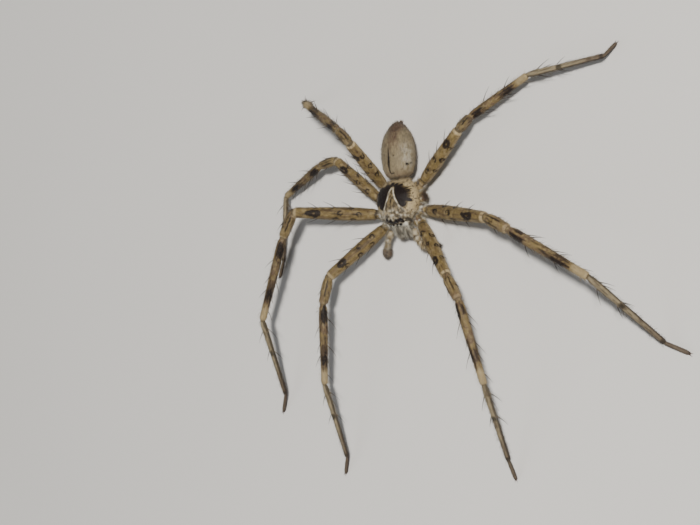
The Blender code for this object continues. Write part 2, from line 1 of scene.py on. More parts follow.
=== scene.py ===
# %% [markdown]
# # A huntsman spider, from its solids to a haired model
#
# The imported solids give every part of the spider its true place. This lesson
# dresses them. One smooth skin takes the place of the fleshy parts, and over it
# come spines, hair, eyes, fangs and claws. Everything is in metres in the end,
# but a spider is small, so the work is done in millimetres.

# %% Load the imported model
import math

import bmesh
import bpy
import numpy as np
from mathutils import Matrix, Vector


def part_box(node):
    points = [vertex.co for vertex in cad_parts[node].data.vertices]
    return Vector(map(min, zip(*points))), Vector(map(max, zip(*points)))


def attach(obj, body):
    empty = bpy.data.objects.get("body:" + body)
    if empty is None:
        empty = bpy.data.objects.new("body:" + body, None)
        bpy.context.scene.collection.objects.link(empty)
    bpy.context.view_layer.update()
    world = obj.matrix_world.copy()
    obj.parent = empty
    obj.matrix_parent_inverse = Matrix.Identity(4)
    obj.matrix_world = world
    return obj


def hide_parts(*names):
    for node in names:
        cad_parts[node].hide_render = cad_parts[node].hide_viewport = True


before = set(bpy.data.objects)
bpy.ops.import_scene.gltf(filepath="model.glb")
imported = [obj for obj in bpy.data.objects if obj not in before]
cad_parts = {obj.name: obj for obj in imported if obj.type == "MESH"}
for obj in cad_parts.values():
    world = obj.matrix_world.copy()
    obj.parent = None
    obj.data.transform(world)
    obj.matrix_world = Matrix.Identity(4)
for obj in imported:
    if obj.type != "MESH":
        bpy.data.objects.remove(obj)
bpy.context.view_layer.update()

MM = 0.001


def place_object(name, data):
    """A new object in the scene that shows the data."""
    obj = bpy.data.objects.new(name, data)
    bpy.context.scene.collection.objects.link(obj)
    return obj


def unit(vector):
    return vector / np.linalg.norm(vector)


def upward(height):
    return np.array([0.0, 0.0, height])


print("nodes in the frame:", len(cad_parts))

# %% [markdown]
# ## Where is the body?
#
# The head looks towards -Y, but the body is turned a little. The eyes come in
# pairs, so the line between a left and a right eye gives the turn, and the
# middle of the front pair gives a known point of the body. From these two the
# body gets its own frame: u to the spider's left, v to its tail and z up.

# %% Find the body frame from the eyes
def middle_of(node):
    low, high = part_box(node)
    return np.array((low + high) / 2) / MM


eye_left = middle_of("eye_back_side_left")
eye_right = middle_of("eye_back_side_right")
ahead = middle_of("eye_front_middle_left") / 2 + middle_of("eye_front_middle_right") / 2
side_way = unit(eye_left - eye_right)
tail_way = np.array([-side_way[1], side_way[0], 0.0])
FRONT_EYES_V = -3.76
body_home = ahead - FRONT_EYES_V * tail_way
body_home[2] = 0.0
body_turn = math.degrees(math.atan2(side_way[1], side_way[0]))


def body_point(u, v, z):
    return body_home + u * side_way + v * tail_way + upward(z)


def to_body(points):
    away = points - body_home
    return np.stack([away @ side_way, away @ tail_way, points[:, 2]], axis=1)


print("body turned by %.2f degrees, home at %s mm" % (body_turn, body_home.round(2)))

# %% [markdown]
# ## The camera
#
# The photograph looks down on the spider from its left side, through a normal
# lens. A camera is a place and three directions: right, up and back. They are
# written down as the columns of its matrix.

# %% Place the camera
camera_data = bpy.data.cameras.new("camera")
camera_data.lens = 59.2
camera_data.sensor_width = 36.0
camera_data.clip_start = 0.01
camera_data.clip_end = 10.0
camera = place_object("camera", camera_data)
camera_right = Vector((0.7893, 0.0300, -0.6133)).normalized()
camera_back = Vector((0.6139, -0.0595, 0.7872))
camera_back = (camera_back - camera_right * camera_back.dot(camera_right)).normalized()
camera_up = camera_back.cross(camera_right)
camera_place = Vector((102.36, -10.07, 161.0)) * MM
camera_turn = Matrix((camera_right, camera_up, camera_back)).transposed()
camera.matrix_world = Matrix.Translation(camera_place) @ camera_turn.to_4x4()
bpy.context.scene.camera = camera
print("camera stands", [round(c, 4) for c in camera_place])

# %% [markdown]
# ## The chain of a leg
#
# A spider's leg has seven pieces: coxa, trochanter, femur, patella, tibia,
# metatarsus and tarsus. Each of the five long ones is a length, a heading seen
# from above and the height of its far end, so one short loop finds all joints.

# %% Joints of the legs
SEGMENTS = ("femur", "patella", "tibia", "metatarsus", "tarsus")
SEGMENT_LENGTHS = {
    1: (13.0, 4.7, 13.9, 13.9, 3.8),
    2: (15.4, 5.0, 15.5, 15.4, 4.0),
    3: (11.4, 4.1, 11.3, 12.2, 3.4),
    4: (11.8, 3.8, 11.8, 12.4, 3.4),
}
STOUTNESS = {1: 1.00, 2: 1.05, 3: 0.94, 4: 0.97}
COXA_INNER = {1: (1.95, -2.05), 2: (2.25, -0.80), 3: (2.20, 0.62), 4: (1.80, 1.95)}
COXA_OUTER = {1: (3.60, -3.50), 2: (4.80, -1.40), 3: (4.70, 1.00), 4: (3.95, 3.35)}
COXA_Z = 4.45
FOOT_HEIGHT = 0.17
POSE = {
    "right_1": ((-132, -102, -94, -86, -114), (9.7, 9.8, 7.5, 1.7)),
    "right_2": ((179, -121, -110, -93, -116), (11.2, 10.7, 9.4, 1.6)),
    "right_3": ((140, -171, -155, -100, -115), (6.3, 5.7, 3.1, 0.9)),
    "right_4": ((88, 139, 149, 163, 158), (14.7, 14.2, 11.3, 1.4)),
    "left_1": ((-48, -53, -70, -88, -84), (9.1, 9.9, 9.4, 2.2)),
    "left_2": ((-9, -25, -28, -51, -23), (9.6, 10.5, 11.2, 1.1)),
    "left_4": ((41, 85, 30, 9, 68), (7.5, 4.6, 4.1, 2.4)),
}


def leg_joints(leg):
    side, number = leg.split("_")
    sign = 1.0 if side == "left" else -1.0
    number = int(number)
    joints = [
        body_point(sign * COXA_INNER[number][0], COXA_INNER[number][1], COXA_Z),
        body_point(sign * COXA_OUTER[number][0], COXA_OUTER[number][1], COXA_Z),
    ]
    headings, heights = POSE[leg]
    for length, heading, height in zip(SEGMENT_LENGTHS[number], headings, (*heights, FOOT_HEIGHT)):
        rise = height - joints[-1][2]
        run = math.sqrt(length ** 2 - rise ** 2)
        turn = math.radians(heading)
        joints.append(joints[-1] + np.array([run * math.cos(turn), run * math.sin(turn), rise]))
    return joints


LEG_JOINTS = {leg: leg_joints(leg) for leg in POSE}
for leg, joints in LEG_JOINTS.items():
    foot_low, foot_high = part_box("leg_%s_tarsus" % leg)
    off = np.linalg.norm(np.clip(joints[-1], np.array(foot_low) / MM, np.array(foot_high) / MM) - joints[-1])
    print(leg, "tip of the foot", joints[-1].round(1), "off its node by %.2f mm" % off)

# %% [markdown]
# ## Forms from rings
#
# Nearly every form here is a tube: rings of points along a path, with a radius
# at each ring. A smooth curve through a few (place, radius) pairs gives the
# radius, so the swelling of a joint is a number in a list and not a sculpture.

# %% Rings and tubes
def smooth_profile(profile, shares):
    """Monotone cubic curve through (share, value) pairs, in numpy."""
    x = np.array([p[0] for p in profile], float)
    y = np.array([p[1] for p in profile], float)
    slopes = np.diff(y) / np.diff(x)
    tangents = np.zeros_like(x)
    for i in range(1, len(x) - 1):
        if slopes[i - 1] * slopes[i] > 0:
            tangents[i] = 2 * slopes[i - 1] * slopes[i] / (slopes[i - 1] + slopes[i])
    tangents[0], tangents[-1] = slopes[0], slopes[-1]
    shares = np.clip(shares, x[0], x[-1])
    cell = np.clip(np.searchsorted(x, shares) - 1, 0, len(x) - 2)
    width = x[cell + 1] - x[cell]
    t = (shares - x[cell]) / width
    a = (2 * t ** 3 - 3 * t ** 2 + 1) * y[cell] + (t ** 3 - 2 * t ** 2 + t) * width * tangents[cell]
    b = (3 * t ** 2 - 2 * t ** 3) * y[cell + 1] + (t ** 3 - t ** 2) * width * tangents[cell + 1]
    return a + b


def axes_along(start, end, top=(0.0, 0.0, 1.0)):
    """Three directions: along the piece, across it and towards its top."""
    x_axis = unit(end - start)
    y_axis = unit(np.cross(top, x_axis))
    return np.array([x_axis, y_axis, np.cross(x_axis, y_axis)])


def full_turn(count):
    """Evenly spaced angles once round."""
    return np.linspace(0, 2 * math.pi, count, endpoint=False)


class Form:
    """Vertices and faces in millimetres, gathered piece by piece."""

    def __init__(self):
        self.points = []
        self.faces = []
        self.count = 0

    def add(self, points, faces):
        self.points.append(np.asarray(points, float))
        self.faces.extend([tuple(index + self.count for index in face) for face in faces])
        self.count += len(points)

    def add_rings(self, rings):
        """Closed skin over rings of equal size, with a fan at both ends."""
        rings = np.asarray(rings, float)
        rows, sides, _ = rings.shape
        points = np.concatenate([rings.reshape(-1, 3), rings[0].mean(0)[None], rings[-1].mean(0)[None]])
        faces = []
        for row in range(rows - 1):
            for side in range(sides):
                after = (side + 1) % sides
                faces.append((row * sides + side, row * sides + after,
                              (row + 1) * sides + after, (row + 1) * sides + side))
        first, last = rows * sides, rows * sides + 1
        for side in range(sides):
            after = (side + 1) % sides
            faces.append((first, after, side))
            faces.append((last, (rows - 1) * sides + side, (rows - 1) * sides + after))
        self.add(points, faces)

    def mesh(self, name):
        mesh = bpy.data.meshes.new(name)
        points = np.concatenate(self.points) * MM
        mesh.from_pydata(points.tolist(), [], self.faces)
        mesh.update()
        return mesh


def tube_rings(start, end, radii, shares, sides=20, flat=1.0, top=(0.0, 0.0, 1.0)):
    """Rings along a straight piece; flat narrows it from top to bottom."""
    axes = axes_along(start, end, top)
    turns = full_turn(sides)
    circle = np.outer(np.sin(turns), axes[1]) + flat * np.outer(np.cos(turns), axes[2])
    return [start + (end - start) * share + radius * circle for share, radius in zip(shares, radii)]


flesh = Form()


def add_tube(start, end, profile, rings, sides, scale=1.0, flat=1.0, depth=0.0):
    """Add a tube to the flesh, with its radius from a profile."""
    shares = np.linspace(0, 1, rings)
    radii = smooth_profile(profile, shares) * scale - depth
    flesh.add_rings(tube_rings(start, end, radii, shares, sides, flat))


print("a straight slope read at its middle:", smooth_profile(((0, 0), (1, 2)), np.array([0.5])))

# %% [markdown]
# ## Flesh of the legs
#
# On the living spider each piece of the leg is a stiff tube with a soft pale
# membrane at the joint. The tubes are a little waisted next to a joint and end
# in a collar. Here every tube closes with a rounded end just before the joint,
# and a thinner ball stands for the membrane. All of them overlap, which doesn't
# matter: they are fused into one skin further down.

# %% Build the legs' flesh
SKIN_DEPTH = 0.04
JOINT_INSET = 0.12
STUMP_LENGTH = 2.3
MEMBRANE_RADII = ((1, 0.74), (2, 0.66), (3, 0.55), (4, 0.38), (5, 0.27))
PROFILES = {
    "coxa": ((0.0, 0.42), (0.25, 0.70), (0.50, 0.86), (0.66, 0.95), (0.76, 0.86), (0.79, 0.74),
             (0.84, 0.84), (0.92, 0.95), (1.0, 0.80)),
    "femur": ((0.0, 0.60), (0.03, 0.80), (0.08, 0.95), (0.14, 1.00), (0.32, 1.12), (0.60, 1.05),
              (0.86, 0.93), (0.955, 0.91), (0.985, 0.84), (1.0, 0.55)),
    "patella": ((0.0, 0.50), (0.04, 0.70), (0.14, 0.84), (0.30, 0.91), (0.55, 0.90), (0.80, 0.84),
                (0.92, 0.82), (0.965, 0.76), (1.0, 0.50)),
    "tibia": ((0.0, 0.46), (0.02, 0.62), (0.05, 0.72), (0.12, 0.77), (0.35, 0.75), (0.65, 0.67),
              (0.90, 0.61), (0.97, 0.61), (0.99, 0.55), (1.0, 0.36)),
    "metatarsus": ((0.0, 0.36), (0.015, 0.47), (0.05, 0.53), (0.10, 0.53), (0.45, 0.46), (0.80, 0.42),
                   (0.97, 0.41), (0.99, 0.38), (1.0, 0.26)),
    "tarsus": ((0.0, 0.25), (0.05, 0.31), (0.20, 0.34), (0.60, 0.35), (0.82, 0.34), (0.93, 0.29),
               (1.0, 0.16)),
    "stump": ((0.0, 0.42), (0.30, 0.72), (0.60, 0.88), (0.74, 0.90), (0.80, 0.76), (0.88, 0.82),
              (0.96, 0.70), (1.0, 0.42)),
}
tubes = []


def add_segment(form, leg, segment, start, end, stoutness):
    profile = PROFILES[segment]
    near_start, near_end = np.linspace(0, 0.1, 9), np.linspace(0.9, 1, 9)
    shares = np.unique(np.concatenate([near_start, np.linspace(0.1, 0.9, 24), near_end]))
    inset = JOINT_INSET / np.linalg.norm(end - start)
    placed = inset + shares * (1 - 2 * inset)
    radii = smooth_profile(profile, shares) * stoutness - SKIN_DEPTH
    form.add_rings(tube_rings(start, end, radii, placed))
    tubes.append((leg, segment, start, end, profile, stoutness))


def add_ball(form, centre, radius, rows=12, sides=18):
    turns = full_turn(sides)
    rings = []
    for row in range(1, rows):
        lift = math.pi * row / rows
        rings.append(np.stack([
            centre[0] + radius * math.sin(lift) * np.cos(turns),
            centre[1] + radius * math.sin(lift) * np.sin(turns),
            np.full(sides, centre[2] + radius * math.cos(lift))], axis=1))
    form.add_rings(rings)


for leg, joints in LEG_JOINTS.items():
    number = int(leg[-1])
    stout = STOUTNESS[number]
    add_segment(flesh, leg, "coxa", joints[0], joints[1], 1.0)
    for index, segment in enumerate(SEGMENTS):
        add_segment(flesh, leg, segment, joints[index + 1], joints[index + 2], stout)
    for index, radius in MEMBRANE_RADII:
        add_ball(flesh, joints[index], radius * stout)
stump_start = body_point(*COXA_INNER[3], COXA_Z)
stump_way = body_point(*COXA_OUTER[3], COXA_Z) - stump_start
stump_end = stump_start + unit(stump_way) * STUMP_LENGTH
add_segment(flesh, "left_3", "stump", stump_start, stump_end, 1.0)
print("leg tubes:", len(tubes))

# %% [markdown]
# ## Flesh of the body
#
# The carapace is one low shield. Behind the eyes the head part stands a little
# higher, a short groove marks the middle, and shallow furrows run from it to
# the legs. A grid of (place along the body, turn round the arc) carries all of
# this as small changes in height.

# %% Build the carapace
CARAPACE_FRONT = -3.90
CARAPACE_LENGTH = 7.75
CARAPACE_MARGIN = 5.80
CARAPACE_TOP = 8.30
CARAPACE_HALF_FRONT, CARAPACE_HALF_WIDEST = 2.2, 4.15
WIDEST_SHARE, REST_SHARE = 0.55, 0.45
CARAPACE_ROUNDNESS = 0.85
# each point of the closed underside: share of the half width, height
CARAPACE_BELOW = ((-1, 5.72), (-0.97, 5.66), (-0.5, 5.64), (0.5, 5.64), (0.97, 5.66), (1, 5.72))
FLANK_MIDDLE, FLANK_HALF = 5.30, 0.42
CARAPACE_RISE = ((0.0, 0.22), (0.025, 0.46), (0.07, 0.64), (0.16, 0.77), (0.32, 0.92), (0.48, 1.0),
                 (0.66, 0.97), (0.82, 0.77), (0.93, 0.49), (1.0, 0.24))


def carapace_half(share):
    """Half the width at a share of the length."""
    rise = np.sin(0.5 * math.pi * np.clip(share / WIDEST_SHARE, 0, 1)) ** 1.35
    back = np.clip((share - WIDEST_SHARE) / REST_SHARE, 0, 1)
    behind = CARAPACE_HALF_WIDEST * np.sqrt(np.clip(1.0 - (0.86 * back) ** 2.6, 0, 1)) * (1.0 - 0.10 * back)
    before = CARAPACE_HALF_FRONT + (CARAPACE_HALF_WIDEST - CARAPACE_HALF_FRONT) * rise
    return np.where(share < WIDEST_SHARE, before, behind)


def carapace_relief(u, v):
    """Height of groove, furrows and head region over the plain dome, in millimetres."""
    groove = -0.16 * np.exp(-(u / 0.13) ** 2 - ((v - 1.25) / 0.62) ** 2)
    reach = np.hypot(u, (v - 1.0))
    angle = np.arctan2(u, -(v - 1.0))
    fan = np.zeros_like(u)
    for leg_angle in (0.62, 1.25, 1.85, 2.45):
        fan += np.exp(-((np.abs(angle) - leg_angle) / 0.085) ** 2)
    furrows = -0.07 * fan * np.exp(-((reach - 2.1) / 1.0) ** 2)
    head = 0.07 * np.exp(-(u / 1.5) ** 4) * np.exp(-((v + 2.0) / 1.5) ** 4)
    lip = 0.05 * np.exp(-((v + 3.1) / 0.35) ** 2) * np.exp(-(u / 1.3) ** 4)
    return groove + furrows + head + lip


def carapace_rings(stations=64, arc=44):
    shares = 0.5 - 0.5 * np.cos(math.pi * np.arange(stations) / (stations - 1))
    turns = np.linspace(0, math.pi, arc)
    rings = []
    for share in shares:
        v = CARAPACE_FRONT + SKIN_DEPTH + share * (CARAPACE_LENGTH - 2 * SKIN_DEPTH)
        half = float(carapace_half(np.array(share))) - SKIN_DEPTH
        rise = float(smooth_profile(CARAPACE_RISE, np.array([share]))[0])
        top = CARAPACE_MARGIN + (CARAPACE_TOP - CARAPACE_MARGIN) * rise - SKIN_DEPTH
        u = half * np.cos(turns)
        z = CARAPACE_MARGIN + (top - CARAPACE_MARGIN) * np.sin(turns) ** CARAPACE_ROUNDNESS
        z = z + carapace_relief(u, np.full_like(u, v)) * np.sin(turns)
        above = [body_point(a, v, b) for a, b in zip(u, z)]
        rings.append(above + [body_point(half * a, v, b) for a, b in CARAPACE_BELOW])
    return rings


def flank_rings():
    """Soft side walls between the shield and the hips."""
    rings = []
    for share in np.linspace(0.06, 0.92, 24):
        half = 0.72 * float(carapace_half(np.array(share)))
        v = CARAPACE_FRONT + share * CARAPACE_LENGTH
        rings.append([body_point(half * math.cos(t), v, FLANK_MIDDLE + FLANK_HALF * math.sin(t))
                      for t in full_turn(24)])
    return rings


flesh.add_rings(carapace_rings())
flesh.add_rings(flank_rings())
print("carapace half width at its widest %.2f mm" % float(carapace_half(np.array(WIDEST_SHARE))))

# %% [markdown]
# The abdomen is a slim egg, fuller in front, on a thin waist. Its tail hangs a
# little lower than its front, and four spinnerets end it.

# %% Build the abdomen and the waist
ABDOMEN_FRONT = (-0.25, 4.25)
ABDOMEN_TURN = 4.5
ABDOMEN_LENGTH = 9.7
ABDOMEN_WIDE, ABDOMEN_TALL, ABDOMEN_MIDDLE, ABDOMEN_DROP = 3.075, 2.55, 5.15, 0.55
ABDOMEN_ROUNDNESS = 0.85
ABDOMEN_HALF = ((0.0, 0.18), (0.012, 0.46), (0.04, 0.64), (0.10, 0.80), (0.24, 0.95), (0.42, 1.0),
                (0.60, 0.95), (0.75, 0.81), (0.87, 0.59), (0.95, 0.38), (0.985, 0.25), (1.0, 0.12))
WAIST_Z, WAIST_RADIUS = 4.85, 0.42
SPINNERET_Z = 4.05
SPINNERETS = ((0.30, 0.10, 1.0), (-0.30, 0.10, 1.0), (0.26, -0.30, 0.8), (-0.26, -0.30, 0.8))
SPINNERET_PROFILE = ((0, 0.32), (0.5, 0.30), (0.62, 0.24), (0.9, 0.20), (1, 0.10))
turn = math.radians(ABDOMEN_TURN)
abdomen_side = side_way * math.cos(turn) + tail_way * math.sin(turn)
abdomen_tail = -side_way * math.sin(turn) + tail_way * math.cos(turn)
abdomen_home = body_point(*ABDOMEN_FRONT, 0.0)


def abdomen_point(u, v, z):
    return abdomen_home + u * abdomen_side + v * abdomen_tail + upward(z)


def to_abdomen(points):
    away = points - abdomen_home
    return np.stack([away @ abdomen_side, away @ abdomen_tail, points[:, 2]], axis=1)


def abdomen_ring(share, sides=48):
    wide = float(smooth_profile(ABDOMEN_HALF, np.array([share]))[0])
    half = ABDOMEN_WIDE * wide - SKIN_DEPTH
    tall = ABDOMEN_TALL * wide ** ABDOMEN_ROUNDNESS - SKIN_DEPTH
    middle = ABDOMEN_MIDDLE - ABDOMEN_DROP * share ** 2
    turns = full_turn(sides)
    u = half * np.cos(turns)
    z = tall * np.sin(turns)
    crease = np.exp(-((u + 1.55) / 0.16) ** 2) * np.exp(-((share - 0.22) / 0.13) ** 4) * (z > 0)
    front_fold = np.exp(-((share - 0.07) / 0.02) ** 2) * np.exp(-(u / 1.6) ** 2) * (z > 0)
    z = z - 0.20 * crease - 0.08 * front_fold
    return [abdomen_point(a, share * ABDOMEN_LENGTH, middle + b) for a, b in zip(u, z)]


stations = 0.5 - 0.5 * np.cos(math.pi * np.linspace(0, 1, 56))
flesh.add_rings([abdomen_ring(share) for share in stations])
waist_start = abdomen_point(0, -1.7, WAIST_Z)
waist_end = abdomen_point(0, 0.6, WAIST_Z)
flesh.add_rings(tube_rings(waist_start, waist_end, [WAIST_RADIUS] * 8, np.linspace(0, 1, 8)))
for u, z, size in SPINNERETS:
    root = abdomen_point(u, ABDOMEN_LENGTH - 0.6, SPINNERET_Z + z)
    tip = abdomen_point(u * 1.3, ABDOMEN_LENGTH + 0.38 * size, SPINNERET_Z + z * 1.2)
    add_tube(root, tip, SPINNERET_PROFILE, 12, 12, scale=size)
print("abdomen from v = %.2f to %.2f mm" % (ABDOMEN_FRONT[1], ABDOMEN_FRONT[1] + ABDOMEN_LENGTH))

# %% [markdown]
# Below the carapace lie the sternum, the mouthparts and the two stout jaws, and
# beside the jaws the palps. The last piece of a grown male's palp is swollen.

# %% Build the underside, jaws and palps
STERNUM_WIDE, STERNUM_LONG = 1.65, 2.2
STERNUM_LEVELS = ((3.40, 0.40), (3.44, 0.62), (3.60, 0.82), (4.10, 0.95), (5.00, 0.96), (5.36, 0.90))
ENDITE_PROFILE = ((0, 0.34), (0.45, 0.42), (0.85, 0.36), (1.0, 0.14))
LABIUM_PROFILE = ((0, 0.32), (0.45, 0.38), (0.85, 0.34), (1.0, 0.16))
JAW_PROFILE = ((0.0, 0.50), (0.05, 0.66), (0.15, 0.84), (0.40, 0.99), (0.60, 0.94), (0.78, 0.82),
               (0.92, 0.58), (1.0, 0.26))
JAW_STOUTNESS = 0.88
# root, knee, wrist and tip of each palp
PALPS = {
    "right": ((-2.30, -4.35, 4.55), (-3.10, -5.90, 4.75), (-4.20, -7.05, 3.45), (-5.55, -8.50, 1.55)),
    "left": ((2.25, -4.35, 4.55), (2.80, -5.95, 4.80), (3.15, -7.60, 3.20), (5.40, -7.05, 1.40)),
}
PALP_PROFILES = {
    "base": ((0, 0.34), (0.1, 0.43), (0.5, 0.49), (0.9, 0.48), (1, 0.32)),
    "knee": ((0, 0.32), (0.12, 0.42), (0.5, 0.49), (0.88, 0.44), (1, 0.30)),
    "shin": ((0, 0.30), (0.12, 0.42), (0.55, 0.48), (0.9, 0.44), (1, 0.32)),
    "bulb": ((0, 0.30), (0.08, 0.48), (0.28, 0.67), (0.50, 0.71), (0.74, 0.58), (0.90, 0.36), (1, 0.12)),
}


def sternum_rings():
    rings = []
    turns = full_turn(36)
    narrow = 1.0 - 0.12 * np.sin(turns)
    lobes = 1.0 + 0.03 * np.cos(8 * turns)
    for z, widen in STERNUM_LEVELS:
        wide, long = STERNUM_WIDE * widen, STERNUM_LONG * widen
        rings.append([body_point(wide * n * lobe * math.cos(t), long * lobe * math.sin(t), z)
                      for t, n, lobe in zip(turns, narrow, lobes)])
    return rings


flesh.add_rings(sternum_rings())
for sign in (-1.0, 1.0):
    root, tip = body_point(sign * 0.95, -1.5, 4.05), body_point(sign * 0.52, -3.20, 3.60)
    add_tube(root, tip, ENDITE_PROFILE, 14, 14)
add_tube(body_point(0, -1.6, 3.85), body_point(0, -2.68, 3.66), LABIUM_PROFILE, 12, 14)
jaw_tubes = []
for sign in (1.0, -1.0):
    root = body_point(sign * 0.92, -3.62, 5.25)
    end = body_point(sign * 0.84, -5.33, 3.08)
    add_tube(root, end, JAW_PROFILE, 26, 24, JAW_STOUTNESS, flat=1.04, depth=SKIN_DEPTH)
    jaw_tubes.append((sign, root, end))
palp_tubes = []
for spots in PALPS.values():
    root, knee, wrist, tip = [body_point(*spot) for spot in spots]
    ends = {
        "base": (root, root + (knee - root) * 0.80),
        "knee": (root + (knee - root) * 0.78, knee + (wrist - knee) * 0.28),
        "shin": (knee + (wrist - knee) * 0.24, wrist + (tip - wrist) * 0.02),
        "bulb": (wrist - (tip - wrist) * 0.02, tip),
    }
    for name, (start, end) in ends.items():
        add_tube(start, end, PALP_PROFILES[name], 26, 20)
        palp_tubes.append(("palp_" + name, start, end, PALP_PROFILES[name]))
print("closed forms together have %d points" % flesh.count)

# %% [markdown]
# ## One skin
#
# A real spider has no cuts between its parts. Remesh in voxel mode wraps all the
# overlapping forms in one even surface, and a few rounds of smoothing take the
# small steps out of it. The work is done a hundred times too large, because a
# voxel of a tenth of a millimetre is near the smallest that the tool allows.

# %% Wrap the flesh
ENLARGE = 100.0
VOXEL = 0.115
SMOOTH_ROUNDS = 2


def wrap(form, name, voxel):
    mesh = form.mesh(name)
    mesh.transform(Matrix.Scale(ENLARGE, 4))
    obj = place_object(name, mesh)
    remesh = obj.modifiers.new("wrap", "REMESH")
    remesh.mode = "VOXEL"
    remesh.voxel_size = voxel * MM * ENLARGE
    remesh.adaptivity = 0.0
    smooth = obj.modifiers.new("even", "SMOOTH")
    smooth.factor = 0.5
    smooth.iterations = SMOOTH_ROUNDS
    evaluated = obj.evaluated_get(bpy.context.evaluated_depsgraph_get())
    done = bpy.data.meshes.new_from_object(evaluated)
    obj.modifiers.clear()
    obj.data = done
    done.transform(Matrix.Scale(1.0 / ENLARGE, 4))
    done.shade_smooth()
    bpy.data.meshes.remove(mesh)
    return obj


def read_vectors(mesh, field):
    """A vector of each vertex, as rows of an array."""
    values = np.zeros(len(mesh.vertices) * 3, np.float32)
    mesh.vertices.foreach_get(field, values)
    return values.reshape(-1, 3).astype(float)


skin = wrap(flesh, "skin", VOXEL)
points = read_vectors(skin.data, "co") / MM
normals = read_vectors(skin.data, "normal")
print("skin has %d faces" % len(skin.data.polygons))

# %% [markdown]
# ## Which part is each point on?
#
# The markings belong to the parts: a ring at every spine of a femur, bands on a
# tibia, a pale V on the carapace. So each point of the skin is asked which form
# it is nearest to, how far along that form it lies and how far round. The hair
# asks the same question at its roots, and so it carries the same markings.

# %% Survey points against the forms
ZONES = ("carapace", "abdomen", "under", "jaw", "palp_base", "palp_knee", "palp_shin", "palp_bulb",
         "coxa", "femur", "patella", "tibia", "metatarsus", "tarsus", "stump")
ZONE = {name: number for number, name in enumerate(ZONES)}


def tube_distance(points, start, end, profile, stoutness):
    axes = axes_along(start, end)
    length = np.linalg.norm(end - start)
    local = (points - start) @ axes.T
    share = np.clip(local[:, 0] / length, 0, 1)
    radius = smooth_profile(profile, share) * stoutness
    distance = np.abs(np.hypot(local[:, 1], local[:, 2]) - radius)
    distance = distance + np.maximum(-local[:, 0], 0) + np.maximum(local[:, 0] - length, 0)
    turn = np.arctan2(local[:, 1], local[:, 2])
    return distance, share, turn, radius, length, axes


def carapace_height(u, v):
    share = np.clip((v - CARAPACE_FRONT) / CARAPACE_LENGTH, 0, 1)
    half = carapace_half(share)
    rise = CARAPACE_MARGIN + (CARAPACE_TOP - CARAPACE_MARGIN) * smooth_profile(CARAPACE_RISE, share)
    across = np.clip(np.abs(u) / half, 0, 1)
    dome = np.sqrt(1 - across ** 2) ** CARAPACE_ROUNDNESS
    return CARAPACE_MARGIN + (rise - CARAPACE_MARGIN) * dome, half


